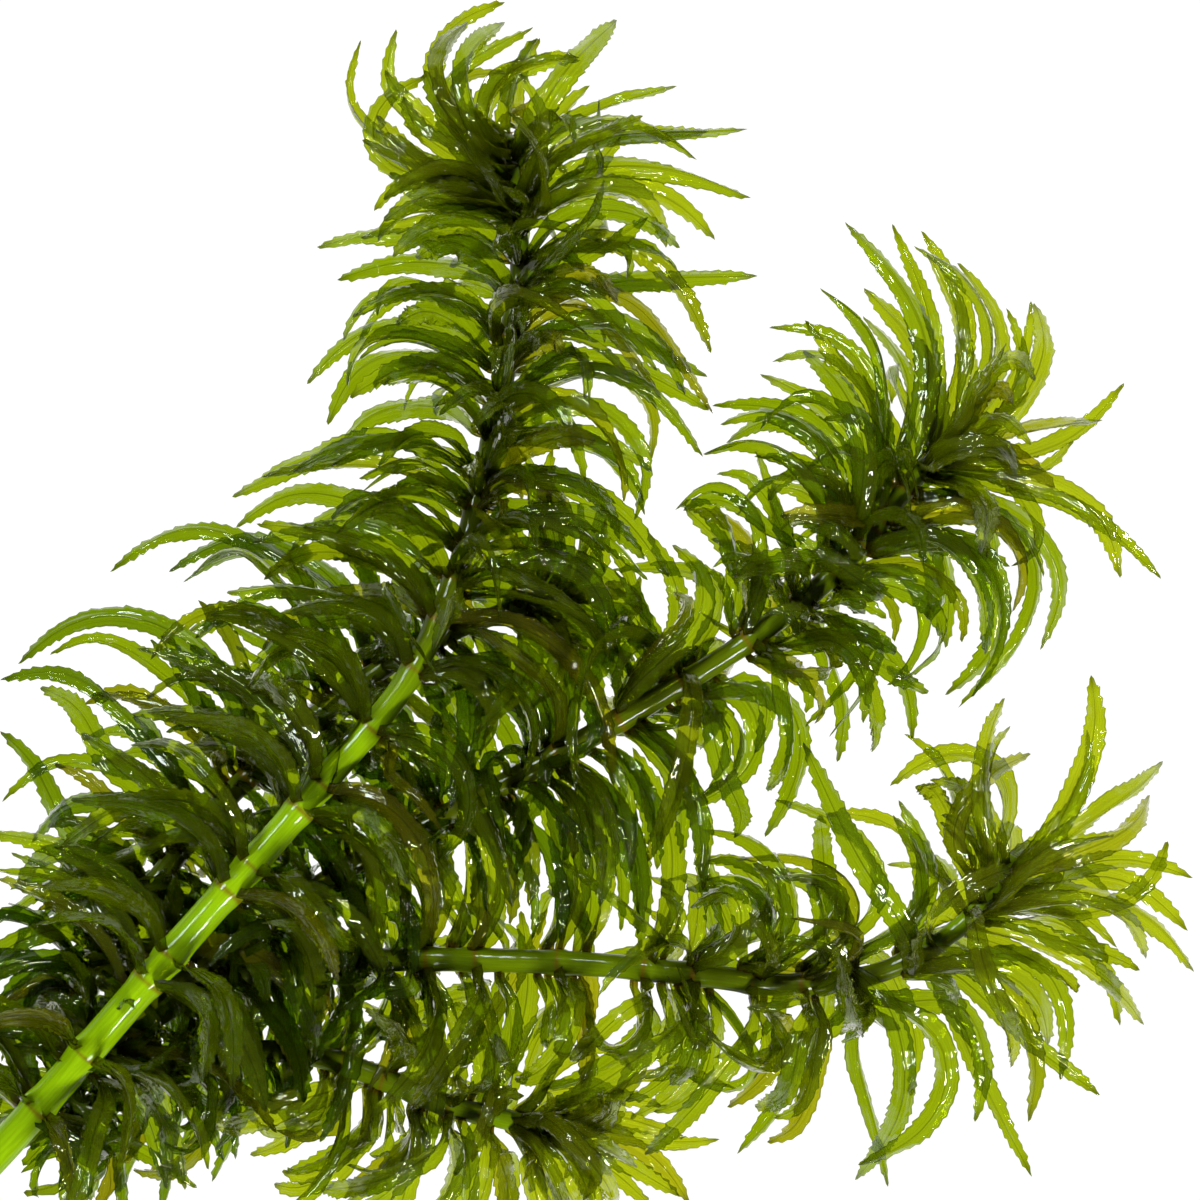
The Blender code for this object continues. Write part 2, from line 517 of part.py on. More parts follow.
class Leaf:
    """A leaf: its middle line, the directions of its width and its face, and its size."""

    def __init__(self, socket, points, roll, scale=1.0):
        self.socket = socket
        self.scale = scale
        points = even_rows(points, LEAF_STEPS)
        self.stations = stations_for(points)
        points[:, 2] = np.maximum(points[:, 2], 0.0)
        self.fractions = np.linspace(0.0, 1.0, LEAF_STEPS)
        tangents = unit_rows(np.gradient(points, axis=0))
        tangents[0] = socket.normal
        self.widths = self.width_directions(points, tangents, math.radians(roll))
        self.normals = np.cross(tangents, self.widths)
        half = 0.5 * scale * width_at(self.fractions) * np.abs(self.widths[:, 2])
        ridge = -LEAF_RIDGE * self.normals[:, 2]
        lowest = np.maximum(0.0, np.maximum(half, ridge))
        lowest[0] = 0.0
        points[:, 2] = np.maximum(points[:, 2], lowest)
        self.points = points

    def width_directions(self, points, tangents, roll):
        """Twist the blade from its seat on the stem to face up, give or take its roll."""
        chord = unit(points[-1] - points[0])
        level = unit_rows(np.cross(tangents + 0.3 * chord, UP))
        carried = self.socket.across
        angles = []
        frames = []
        for step in range(LEAF_STEPS):
            carried = unit(carried - tangents[step] * np.dot(carried, tangents[step]))
            flat = unit(level[step] - tangents[step] * np.dot(level[step], tangents[step]))
            side = np.cross(tangents[step], carried)
            frames.append((carried, side))
            angles.append(math.atan2(np.dot(flat, side), np.dot(flat, carried)))
        angles = np.array(angles)
        turned = int(TWIST_SHARE * LEAF_STEPS) + 1
        angles[turned] = (angles[turned] + math.pi / 2) % math.pi - math.pi / 2
        for step in range(turned + 1, LEAF_STEPS):
            change = angles[step] - angles[step - 1]
            angles[step] -= math.pi * round(change / math.pi)
        for step in range(turned - 1, -1, -1):
            change = angles[step] - angles[step + 1]
            angles[step] -= math.pi * round(change / math.pi)
        clear = np.clip(points[:, 2] / ROLL_HEIGHT, 0.0, 1.0)
        blend = np.clip(self.fractions / TWIST_SHARE, 0.0, 1.0)
        blend = blend * blend * (3 - 2 * blend)
        final = blend * (angles + roll * clear)
        return np.array([frame[0] * math.cos(angle) + frame[1] * math.sin(angle)
                         for frame, angle in zip(frames, final)])

    def at(self, fraction):
        """Point, width direction and face direction at a fraction of the length."""
        rows = [np.array([np.interp(fraction, self.fractions, column) for column in table.T])
                for table in (self.points, self.widths, self.normals)]
        return rows[0], unit(rows[1]), unit(rows[2])

    def sections(self, grow=0.0):
        """Three corners at each station, two at the edges and one on the ridge, then the tip."""
        corners = []
        for fraction in self.stations:
            centre, across, face = self.at(fraction)
            half = 0.5 * self.scale * width_at(fraction) + grow
            taper = min(1.0, RIDGE_TAPER * (1.0 - fraction))
            ridge = LEAF_RIDGE * taper + 2 * grow
            base = centre - face * grow
            corners += [base + across * half, base + face * ridge, base - across * half]
        return np.array(corners + [self.points[-1]])

    def solid(self, grow=0.0, free=0.0):
        """Triangles of the leaf from its seat, or from this share of the way to its first section."""
        sections = self.sections(grow)
        seat = self.socket.corners + free * (sections[:3].mean(axis=0) - self.socket.corners)
        points = np.concatenate((seat, sections))
        return points, leaf_faces(points)


def two_faces(points, a, b, c, d):
    """Two triangles over four corners, split along the diagonal that stands proud."""
    rise = np.dot(np.cross(points[b] - points[a], points[c] - points[a]), points[d] - points[a])
    if rise <= 0:
        return [(a, b, c), (a, c, d)]
    return [(a, b, d), (b, c, d)]


def leaf_faces(points):
    """Skin over a leaf's four-cornered seat (0 to 3), its three-cornered sections and its tip."""
    faces = two_faces(points, 0, 1, 5, 4) + [(1, 2, 5)]
    faces += two_faces(points, 2, 3, 6, 5) + two_faces(points, 3, 0, 4, 6)
    tip = len(points) - 1
    for low in range(4, tip - 3, 3):
        for corner in range(3):
            after = low + (corner + 1) % 3
            faces += two_faces(points, low + corner, after, after + 3, low + corner + 3)
    return faces + [(tip - 3, tip - 2, tip), (tip - 2, tip - 1, tip), (tip - 1, tip - 3, tip)]


def marked_points(socket, spots, bow, end_height, shift):
    """Middle line of a leaf through the pixels it was seen at."""
    outward = LEAVE_OUT * socket.normal + LEAVE_ALONG * socket.along
    leave = socket.centre + outward * LEAVE_LENGTH
    seen = np.array([pixel(leave)] + [np.array(spot) for spot in spots], float)
    seen[1:-1] += shift
    chords = np.linalg.norm(np.diff(seen, axis=0), axis=1)
    along = np.concatenate(([0.0], np.cumsum(chords))) / np.sum(chords)
    rows = [socket.centre, leave]
    for fraction, spot in zip(along[1:], seen[1:]):
        height = leave[2] + (end_height - leave[2]) * fraction**1.5 + bow * math.sin(math.pi * fraction)
        rows.append(place(spot[0], spot[1], max(height, 0.0)))
    return smooth_route(rows, 40)


def filler_points(socket, length, start, finish, bend):
    """Middle line of a leaf that leaves its whorl at one angle to the stem and arches to another."""
    rows = [socket.centre]
    for step in range(FILLER_STEPS):
        fraction = step / (FILLER_STEPS - 1)
        lean = math.radians(start + (finish - start) * fraction**0.8)
        swing = math.radians(bend * fraction)
        outward = socket.normal * math.cos(swing) + socket.across * math.sin(swing)
        direction = outward * math.sin(lean) + socket.along * math.cos(lean)
        rows.append(rows[-1] + direction * length / FILLER_STEPS)
    rows = np.array(rows)
    rows[:, 2] = np.maximum(rows[:, 2], 0.0)
    return rows


class Space:
    """Everything that has a place so far, to keep new leaves clear of it."""

    def __init__(self):
        self.lows = []
        self.highs = []
        self.items = []

    def add(self, owner, whole, outer=None):
        points = whole[0]
        self.lows.append(points.min(axis=0))
        self.highs.append(points.max(axis=0))
        self.items.append((owner, search_tree(whole), search_tree(outer or whole)))

    def hits(self, leaf, enough):
        """How many things a leaf would touch, counted up to `enough`."""
        owner = leaf.socket.carrier.name
        grown = leaf.solid(CLEARANCE)
        low, high = grown[0].min(axis=0), grown[0].max(axis=0)
        near = np.all((np.array(self.lows) < high) & (np.array(self.highs) > low), axis=1)
        grown_tree = search_tree(grown)
        outer_trees = [search_tree(leaf.solid(grow, FREE_FROM)) for grow in (0.0, CLEARANCE)]
        found = 0
        for index in np.flatnonzero(near):
            other, whole, outer = self.items[index]
            if other == owner:
                touching = any(tree.overlap(outer) for tree in outer_trees)
            else:
                touching = grown_tree.overlap(whole)
            if touching:
                found += 1
                if found >= enough:
                    return found
        return found


def search_tree(solid):
    points, faces = solid
    return BVHTree.FromPolygons(points.tolist(), faces)


def settle(space, tries, make):
    """Make a leaf that touches nothing; the first try is the wanted shape, later ones stray from it."""
    best = None
    fewest = len(space.items)
    for attempt in range(tries):
        leaf = make(attempt)
        touched = space.hits(leaf, fewest)
        if touched < fewest:
            best, fewest = leaf, touched
        if fewest == 0:
            break
    return best, fewest


def marked_leaf(space, socket, roll, spots):
    """One leaf that the picture shows, with its height chosen so that it clears its neighbours."""
    rng = random.Random(f"marked {spots}")
    shown = np.array([socket.spot] + [np.array(spot) for spot in spots], float)
    seen_length = np.sum(np.linalg.norm(np.diff(shown, axis=0), axis=1)) * PIXEL * 0.95
    missing = max(LEAF_LENGTH**2 - seen_length**2, 0.0) ** 0.5
    side = 1.0 if socket.normal[2] > -0.3 else -1.0
    height = socket.centre[2]

    def make(attempt):
        stray = min(1.0, 3 * attempt / MARKED_TRIES)
        bow = side * (1.0 * MM + 0.35 * missing) + rng.uniform(-1, 1) * STRAY_BOW * stray
        end = height * (0.75 if side > 0 else 0.4) + rng.uniform(-1, 1) * STRAY_END * stray
        shift = np.array((rng.uniform(-1, 1), rng.uniform(-1, 1))) * STRAY_PIXELS * stray
        points = marked_points(socket, spots, bow, max(end, 0.0), shift)
        return Leaf(socket, points, roll)

    return settle(space, MARKED_TRIES, make)


def filler_leaf(space, socket, up_shoot):
    """One leaf that isn't marked in the picture, grown by the habit of the plant."""
    rng = random.Random(f"{socket.carrier.name} {socket.band} {socket.side}")
    full_length = LEAF_LENGTH * rng.uniform(0.85, 1.0) * (1 - TIP_SHORTER * up_shoot)
    start = BASE_LEAN - TIP_LESS_LEAN * up_shoot
    finish = start + rng.uniform(*ARCH)

    def make(attempt):
        stray = min(1.0, 2 * attempt / FILLER_TRIES)
        lean = start + rng.uniform(-20, 25) * stray
        arch = finish + rng.uniform(-50, 40) * stray
        bend = rng.uniform(-25, 25) + rng.uniform(-45, 45) * stray
        length = full_length * (1 - 0.25 * stray * rng.random())
        points = filler_points(socket, length, lean, arch, bend)
        return Leaf(socket, points, rng.uniform(-35, 35))

    return settle(space, FILLER_TRIES, make)


def best_socket(carriers, spots):
    """Free socket of a shoot that suits a marked leaf: near its first pixel, facing its way."""
    base = np.array(spots[0], float)
    heading = np.array((spots[1][0] - spots[0][0], spots[0][1] - spots[1][1], 0.0))
    heading = unit(heading)
    best = None
    least = math.inf
    for carrier in carriers:
        for socket in carrier.sockets:
            if socket.leaf is not None:
                continue
            cost = np.linalg.norm(socket.spot - base) - FACING_WORTH * np.dot(socket.normal, heading)
            if cost < least:
                best, least = socket, cost
    return best


def grow_plant():
    """Stems, carriers and leaves of the whole plant."""
    routes = {name: stem_route(name) for name in STEMS}
    carriers = []
    for name, route in routes.items():
        carriers += [ring_carrier(name, number, route, spot) for number, spot in enumerate(WHORLS[name])]
        carriers.append(tip_carrier(name, route))
    space = Space()
    for name, route in routes.items():
        points, faces = tube(stem_sections(name, route))
        space.add(None, (points, faces))
    for carrier in carriers:
        space.add(carrier.name, carrier.solid())
    for name in STEMS:
        own = [carrier for carrier in carriers if carrier.shoot == name]
        for roll, *spots in MARKED[name]:
            socket = best_socket(own, spots)
            keep_leaf(space, *marked_leaf(space, socket, roll, spots[1:]))
    for carrier in carriers:
        fill_carrier(space, carrier)
    return routes, carriers


def keep_leaf(space, leaf, touched):
    """Give a leaf its place, unless it touches something."""
    if touched:
        return
    leaf.socket.leaf = leaf
    space.add(leaf.socket.carrier.name, leaf.solid(), leaf.solid(free=FREE_FROM))


def fill_carrier(space, carrier):
    """Leaves on the sockets that no marked leaf took, except on top where the stem shows."""
    is_tip = carrier.bore is None
    bands = len(carrier.rings) - 1
    wanted = TIP_LEAVES * (bands // 2) if is_tip else RING_LEAVES[carrier.shoot] * ((bands + 1) // 2)
    free = [socket for socket in carrier.sockets if socket.leaf is None]
    free.sort(key=lambda socket: socket.normal[2])
    for socket in free:
        taken = sum(other.leaf is not None for other in carrier.sockets)
        if taken >= wanted:
            break
        up_shoot = socket.band / bands if is_tip else 0.0
        keep_leaf(space, *filler_leaf(space, socket, up_shoot))


def stem_sections(name, route):
    """Sections along a stem, from its foot to just short of the shoot's growing tip."""
    px, py, _ = TIPS[name]
    stop = nearest_row(route, (px, py)) - 2
    rows = [0]
    while rows[-1] < stop:
        row = rows[-1] + 1
        while row < stop and stray_from_chord(route[rows[-1]:row + 2]) < STEM_STRAY:
            row += 1
        rows.append(row)
    return [section(route[row, :3], heading_at(route, row), route[row, 3]) for row in rows]


def stray_from_chord(rows):
    """How far a stretch of a route strays from the straight line between its ends."""
    share = np.linspace(0.0, 1.0, len(rows))[:, None]
    chord = rows[0] + share * (rows[-1] - rows[0])
    return np.linalg.norm(rows - chord, axis=1).max()


def tube(sections):
    """Closed tube through the sections, as points and triangles."""
    points = np.concatenate(sections)
    faces = []
    for band in range(len(sections) - 1):
        for side in range(SIDES):
            low = band * SIDES + side
            after = band * SIDES + (side + 1) % SIDES
            faces.append((low, after, after + SIDES))
            faces.append((low, after + SIDES, low + SIDES))
    last = len(points) - SIDES
    faces += [(0, side + 1, side) for side in range(1, SIDES - 1)]
    faces += [(last, last + side, last + side + 1) for side in range(1, SIDES - 1)]
    return points, faces


def carrier_mesh(carrier):
    """Points and faces of a carrier with its leaves grown from its sides."""
    points = [point for ring in carrier.rings for point in ring]
    seats = {(socket.band, socket.side): socket for socket in carrier.sockets if socket.leaf}
    faces = []
    bands = len(carrier.rings) - 1
    for band in range(bands):
        for side in range(SIDES):
            low, after = band * SIDES + side, band * SIDES + (side + 1) % SIDES
            corners = (after, after + SIDES, low + SIDES, low)
            if (band, side) not in seats:
                faces.append((low, after, after + SIDES))
                faces.append((low, after + SIDES, low + SIDES))
                continue
            first = len(points)
            leaf_points, skin = seats[(band, side)].leaf.solid()
            points += list(leaf_points[4:])
            index = list(corners) + list(range(first, len(points)))
            faces += [tuple(index[corner] for corner in face) for face in skin]
    top = bands * SIDES
    if carrier.bore is None:
        apex = len(points)
        points.append(carrier.apex)
        faces += [(0, side + 1, side) for side in range(1, SIDES - 1)]
        faces += [(top + side, top + (side + 1) % SIDES, apex) for side in range(SIDES)]
        return points, faces
    inner = len(points)
    points += [point for ring in carrier.bore for point in ring]
    for side in range(SIDES):
        after = (side + 1) % SIDES
        low_in, low_in_after = inner + side, inner + after
        faces.append((low_in_after, low_in, low_in + SIDES))
        faces.append((low_in_after, low_in + SIDES, low_in_after + SIDES))
        faces.append((top + side, top + after, low_in_after + SIDES))
        faces.append((top + side, low_in_after + SIDES, low_in + SIDES))
        faces.append((after, side, low_in))
        faces.append((after, low_in, low_in_after))
    return points, faces


def material(name, colour, roughness):
    """A Principled finish for one kind of piece."""
    made = bpy.data.materials.new(name)
    made.use_nodes = True
    shader = made.node_tree.nodes["Principled BSDF"]
    shader.inputs["Base Color"].default_value = (*colour, 1.0)
    shader.inputs["Roughness"].default_value = roughness
    shader.inputs["Metallic"].default_value = 0.0
    made.diffuse_color = (*colour, 1.0)
    return made


def add_piece(name, points, faces, finish):
    """One closed solid as a named object."""
    mesh = bpy.data.meshes.new(name)
    mesh.from_pydata([tuple(point - ORIGIN) for point in points], [], faces)
    mesh.materials.append(finish)
    piece = bpy.data.objects.new(name, mesh)
    bpy.context.collection.objects.link(piece)
    return piece


def main():
    for old in list(bpy.data.objects):
        bpy.data.objects.remove(old, do_unlink=True)
    leaf_finish = material("leaf", LEAF_GREEN, 0.35)
    tip_finish = material("young_leaf", TIP_GREEN, 0.35)
    stem_finish = material("stem", STEM_GREEN, 0.3)
    routes, carriers = grow_plant()
    for name, route in routes.items():
        points, faces = tube(stem_sections(name, route))
        add_piece(f"stem_{name}", points, faces, stem_finish)
    for carrier in carriers:
        points, faces = carrier_mesh(carrier)
        finish = tip_finish if carrier.bore is None else leaf_finish
        add_piece(carrier.name, points, faces, finish)


main()
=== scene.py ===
"""Egeria najas, a branched waterweed plant laid on a bright table, seen from straight above.

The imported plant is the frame. Every stem, whorl and growing tip of it is replaced by a finer
piece in the same place. Each leaf of the frame gets a thin, finely toothed blade along its own
middle line, and whorls and tips get further leaves between them. A few broad leaves on top are
marked one by one, and loose leaves stand along the lower parts of the side shoots.
"""
import math
import random

import bpy
import numpy as np
from mathutils.bvhtree import BVHTree
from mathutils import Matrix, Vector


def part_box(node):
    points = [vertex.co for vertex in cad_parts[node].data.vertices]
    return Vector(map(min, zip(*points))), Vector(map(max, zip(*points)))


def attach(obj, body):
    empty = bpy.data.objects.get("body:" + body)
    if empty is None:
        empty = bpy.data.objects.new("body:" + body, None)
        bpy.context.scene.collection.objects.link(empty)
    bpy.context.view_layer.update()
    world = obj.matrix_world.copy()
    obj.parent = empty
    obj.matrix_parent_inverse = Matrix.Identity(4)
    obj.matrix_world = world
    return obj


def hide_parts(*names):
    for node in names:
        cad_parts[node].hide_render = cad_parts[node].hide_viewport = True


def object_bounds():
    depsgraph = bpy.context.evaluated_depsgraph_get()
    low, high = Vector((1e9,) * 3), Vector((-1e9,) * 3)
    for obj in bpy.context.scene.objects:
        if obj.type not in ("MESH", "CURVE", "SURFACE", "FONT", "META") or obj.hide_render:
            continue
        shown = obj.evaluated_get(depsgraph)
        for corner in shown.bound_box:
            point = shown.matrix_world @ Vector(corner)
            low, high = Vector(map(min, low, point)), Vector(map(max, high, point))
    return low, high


MM = 0.001
UP = np.array((0.0, 0.0, 1.0))

# The picture: size of a pixel on the surface, height of the eye, middle of the frame, and where
# the plant's origin shows from that middle
PICTURE = 1200
PIXEL = 0.095 * MM
EYE = 0.35
CENTRE = 600
ORIGIN = np.array((-5.640, -2.078, 0.0)) * MM
SENSOR = 36.0

# The frame's own mesh: corners nearer than this are one, and the corners round a leaf's tip, round
# each of its sections and round its seat on the whorl's ring
WELD = 0.002 * MM
SECTION_CORNERS = 3
SEAT_CORNERS = 4
# How far from a stem's box its end may lie
BOX_SLACK = 0.1 * MM

# A leaf's middle line: how deep its root reaches into the stem, its rows, the rows near the stem
# where cuts don't count, and how often its bends are eased
ROOT_DEPTH = 1.0 * MM
PATH_ROWS = 17
HIDDEN_ROWS = 3
EASING_ROUNDS = 5
# The widest half width of a leaf, its share at fractions of the length, and the share of it that a
# smaller leaf keeps in any case
HALF_WIDTH = 1.15 * MM
PROFILE = ((0.0, 0.04, 0.12, 0.32, 0.58, 0.78, 0.91, 0.97, 1.0),
           (0.62, 0.74, 0.9, 1.0, 0.97, 0.76, 0.45, 0.2, 0.0))
WIDTH_KEPT = 0.4
# Columns across a blade, from one margin (-1) over the midrib (0) to the other (1), how thick the
# blade is there, how far its midrib stands out below, and the share of that it is sunk on top
COLUMNS = np.array((-1.0, -0.90, -0.42, 0.0, 0.42, 0.90, 1.0))
THICKNESS = np.array((0.0, 0.11, 0.15, 0.20, 0.15, 0.11, 0.0)) * MM
KEEL = np.array((0.0, 0.0, 0.02, 0.08, 0.02, 0.0, 0.0)) * MM
GROOVE = 0.4
# The margins' teeth: the share of the half width outside which a column has them, their pitch,
# height and range of sizes, how far they lean towards the tip, and at which fractions of the length
# they begin and end
RIM = 0.8
TOOTH_PITCH = 1.1 * MM
TOOTH_HEIGHT = 0.19 * MM
TOOTH_SIZES = (0.3, 1.35)
TOOTH_LEAN = 0.45
TEETH_BEGIN = (0.06, 0.16)
TEETH_END = (0.93, 1.0)
FEWEST_TEETH = 5
ROWS_PER_TOOTH = 2
# How leaves differ: share of the width, sway to the sides in degrees and how fast it turns, fold
# along the midrib in degrees (least, most, commonest), and the margins' waves: height in mm, how
# close, and at which fractions of the length they begin and end. Each wave starts anywhere.
WIDTH_SHARES = (0.90, 1.14)
SWAY = 38
SWAY_WAVES = (2, 5)
FOLDS = (5, 68, 28)
WAVE_HEIGHTS = (0.06, 0.26)
WAVE_COUNTS = (14, 26)
WAVES_BEGIN = (0.08, 0.3)
WAVES_END = (0.85, 1.0)
ANY_START = (0, 6)
# A blade is folded further at its root by this many radians, over this share of its length, and the
# fold opens with this power of the way to the margin
ROOT_FOLD = 0.5
ROOT_FOLD_REACH = 0.1
FOLD_POWER = 1.5
# Below this height leaves bend over and settle on the table
REST = 3.0 * MM
# How far outside the frame's own leaves and the marked ones a further leaf may show from above
STRAY = 2.5 * MM

# Stems: pixel x, pixel y, height in mm and radius in mm, from the foot to the end of the shoot
STEMS = {
    "a": ((-75, 1232, 20, 1.5), (38, 1108, 23, 1.5), (162, 965, 24, 1.45), (312, 795, 22, 1.3),
          (412, 672, 20, 1.1), (455, 580, 18, 1.05), (483, 475, 16.5, 1.0), (500, 405, 15.5, 0.95),
          (508, 340, 14.5, 0.9), (520, 262, 13.5, 0.8), (516, 200, 13, 0.6), (510, 138, 13, 0.35)),
    "b": ((175, 985, 17, 0.85), (250, 935, 13.5, 0.95), (340, 872, 13, 1.0), (460, 808, 13.5, 1.05),
          (575, 745, 14.5, 1.05), (661, 696, 15, 1.05), (751, 639, 15, 1.0), (834, 573, 14.5, 1.0),
          (882, 519, 14, 0.9), (928, 465, 13.5, 0.8), (972, 436, 13.5, 0.4)),
    "c": ((95, 1065, 17, 0.85), (180, 1003, 11.5, 1.0), (260, 970, 10.5, 1.1), (380, 960, 10.5, 1.1),
          (480, 960, 11, 1.1), (600, 965, 11.5, 1.1), (700, 975, 12, 1.1), (800, 985, 12, 1.05),
          (878, 973, 12.5, 0.95), (945, 938, 13, 0.85), (990, 896, 13.5, 0.65), (1014, 856, 14, 0.35)),
    "d": ((45, 1128, 15, 0.85), (130, 1085, 10, 1.0), (220, 1055, 9, 1.05), (306, 1054, 9, 1.05),
          (376, 1076, 9.5, 1.05), (446, 1105, 10, 1.0), (510, 1120, 10, 0.85), (582, 1134, 10.5, 0.4)),
    "e": ((66, 1030, 17, 0.85), (100, 965, 12, 1.0), (150, 890, 10, 1.05), (220, 805, 10, 1.05),
          (300, 730, 10, 1.05), (380, 670, 10.5, 1.0), (460, 628, 11, 0.95), (530, 605, 11.5, 0.75),
          (590, 590, 12, 0.4)),
}
# The pixel at which each side shoot forks from shoot A, and the height looked for there
FORKS = {"b": (120, 1013), "c": (45, 1100), "d": (0, 1150), "e": (80, 1060)}
FORK_HEIGHT = 22 * MM
# A side shoot's foot starts inside shoot A, at this share of its radius, and has a thin neck
FOOT_SHARE = 0.6
FOOT_RADIUS = 0.8 * MM
NECK_REACH = 1.35 * MM
NECK_RADIUS = 0.66 * MM
# A route is drawn with this many rows, from finer steps, and then gets a row at each ROUTE_STEP
ROUTE_ROWS = 400
FINER_STEPS = 6
ROUTE_STEP = 0.5 * MM
# Sides of a stem and how far they differ, and how much less light comes through a stem
STEM_SIDES = 20
STEM_RIDGES = 0.01
STEM_DARK = 0.1
# Nodes: length of their brown ring, length of their swelling, and how far they swell
NODE_RING = 0.5 * MM
NODE_LENGTH = 0.9 * MM
NODE_SWELL = 0.14
# A growing tip's own stem starts this many rows below its first leaf. How strong its rings are and
# how olive brown it is
TIP_ROWS = 6
TIP_RINGS = 0.4
TIP_OLIVE = 0.4
# Length of stem to one unit of the places along it, and the angle from which an edge is sharp
STEM_UNIT = 10 * MM
SHARP = math.radians(110)

# More leaves than the frame has. Shoot, first and last whorl, leaves to a whorl, how far along the
# shoot they may stand from it in mm, the angle, and the size of the smallest. The angle is how far
# from straight up they keep, in degrees, or, where it is negative, how near to it they stay.
MORE_LEAVES = (
    ("a", 1, 2, 8, 2.0, 60, 0.7), ("a", 3, 5, 7, 1.5, 55, 0.65), ("a", 6, 8, 6, 1.0, 30, 0.65),
    ("a", 9, 18, 4, 1.0, 0, 0.65), ("a", 9, 18, 3, 1.0, -45, 0.4),
    ("b", 1, 3, 16, 2.5, 60, 0.4), ("b", 4, 6, 12, 1.8, 28, 0.4), ("b", 7, 9, 6, 1.2, 30, 0.5),
    ("c", 1, 3, 11, 2.4, 55, 0.6), ("c", 4, 6, 9, 1.6, 45, 0.6), ("c", 7, 9, 6, 1.0, 25, 0.6),
    ("c", 5, 9, 2, 1.0, -60, 0.3),
    ("d", 1, 3, 7, 1.5, 45, 0.6), ("d", 4, 5, 4, 1.5, 30, 0.6),
    ("e", 1, 7, 19, 3.5, 0, 0.4),
)
# The same for the growing tips: how many, how far along, at any angle, and the size of the smallest
AT_TIPS = {"a": 18, "b": 16, "c": 15, "d": 13, "e": 13}
TIP_REACH = 1.0
TIP_SMALLEST = 0.6

# Some broad leaves that lie on top, marked one by one: pixel x, pixel y and height in mm, from the
# stem to the tip, and the size
DRAWN_LEAVES = {
    "tip_a": (
        (((502, 202, 14), (444, 182, 18), (396, 144, 19), (377, 115, 17)), 0.95),
        (((508, 192, 14), (458, 158, 18), (415, 130, 18), (403, 96, 16)), 1.0),
        (((508, 172, 14), (473, 144, 18), (440, 106, 19), (424, 70, 17)), 0.95),
        (((508, 212, 14), (458, 192, 19), (406, 180, 20), (374, 211, 18)), 1.05),
        (((508, 230, 14), (454, 214, 18), (408, 209, 19), (378, 242, 16)), 1.0),
        (((508, 168, 14), (484, 112, 18), (502, 80, 20), (545, 62, 20), (580, 58, 19)), 1.15),
        (((511, 144, 14), (506, 108, 18), (516, 72, 18), (537, 38, 16)), 0.85),
        (((505, 205, 14), (460, 200, 17), (420, 196, 17), (390, 172, 16)), 0.95),
        (((506, 200, 14), (462, 150, 15), (424, 118, 15), (396, 92, 14), (385, 70, 13)), 0.95),
        (((504, 210, 14), (452, 172, 15), (405, 150, 15), (372, 128, 14)), 1.0),
        (((506, 188, 14), (470, 130, 15), (445, 100, 15), (436, 66, 14)), 0.9),
        (((504, 215, 14), (450, 190, 16), (400, 165, 16), (362, 140, 15)), 1.0),
    ),
    "tip_b": (
        (((918, 474, 14), (945, 454, 18), (978, 446, 20), (1008, 450, 19), (1016, 478, 17)), 1.2),
    ),
    "whorl_b_07": (
        (((842, 566, 15), (815, 561, 19), (780, 566, 20), (745, 573, 19), (733, 577, 18)), 1.0),
    ),
    "whorl_b_08": (
        (((872, 528, 15), (835, 516, 19), (805, 514, 20), (780, 516, 19)), 1.0),
    ),
    "tip_c": (
        (((930, 946, 13), (938, 912, 17), (965, 888, 19), (1000, 871, 18), (1012, 868, 17)), 1.2),
    ),
}
# A marked leaf's face leans this much along the shoot, and lies so from this share of its length
LEAN = 0.5
LYING_FROM = 0.4

# Leaves on the lower part of a shoot, under the tangle, below its first whorl of the frame: how many,
# the first and last pixel they stand at, about how high, and the size of the smallest
LOWER_LEAVES = {"b": (100, (150, 1000), (545, 762)), "c": (74, (80, 1080), (405, 960)),
                "d": (74, (30, 1140), (320, 1058)), "e": (50, (60, 1040), (150, 890))}
LOWER_HEIGHT = 13 * MM
LOWER_SMALLEST = 0.6

# For each further leaf this many places are tried, and the leaf stays where it cuts others least.
# Leaving the plant's box counts as this many cuts.
TRIES = 7
OUTSIDE = 50

# How young the leaves of each shoot look: dark and olive at 0, green at 0.4, bright and yellow at 1
YOUNG = {"a": 0.43, "b": 0.45, "c": 0.56, "d": 0.70, "e": 0.28}
YOUNGER_AT_TIP = {"a": 0.21, "b": 0.33, "c": 0.31, "d": 0.34, "e": 0.3}
# How far single leaves differ from that, and the share of it that the lower leaves keep, which paints
# them darker as shade under the tangle
YOUNG_VARIES = 0.14
LOWER_SHADE_SHARE = 0.3
# Range of how brown a leaf is. Below 0 it isn't, so only a few are.
BROWN = (-2.8, 0.5)
# How olive brown each stem is at its foot and at its end, and between which fractions of its length
# that changes
OLIVE = {"a": (0.0, 0.85, 0.5, 0.7), "b": (0.95, 0.7, 0.3, 1.0), "c": (0.7, 0.85, 0.6, 0.9),
         "d": (0.75, 0.7, 0.0, 1.0), "e": (0.85, 0.8, 0.0, 1.0)}
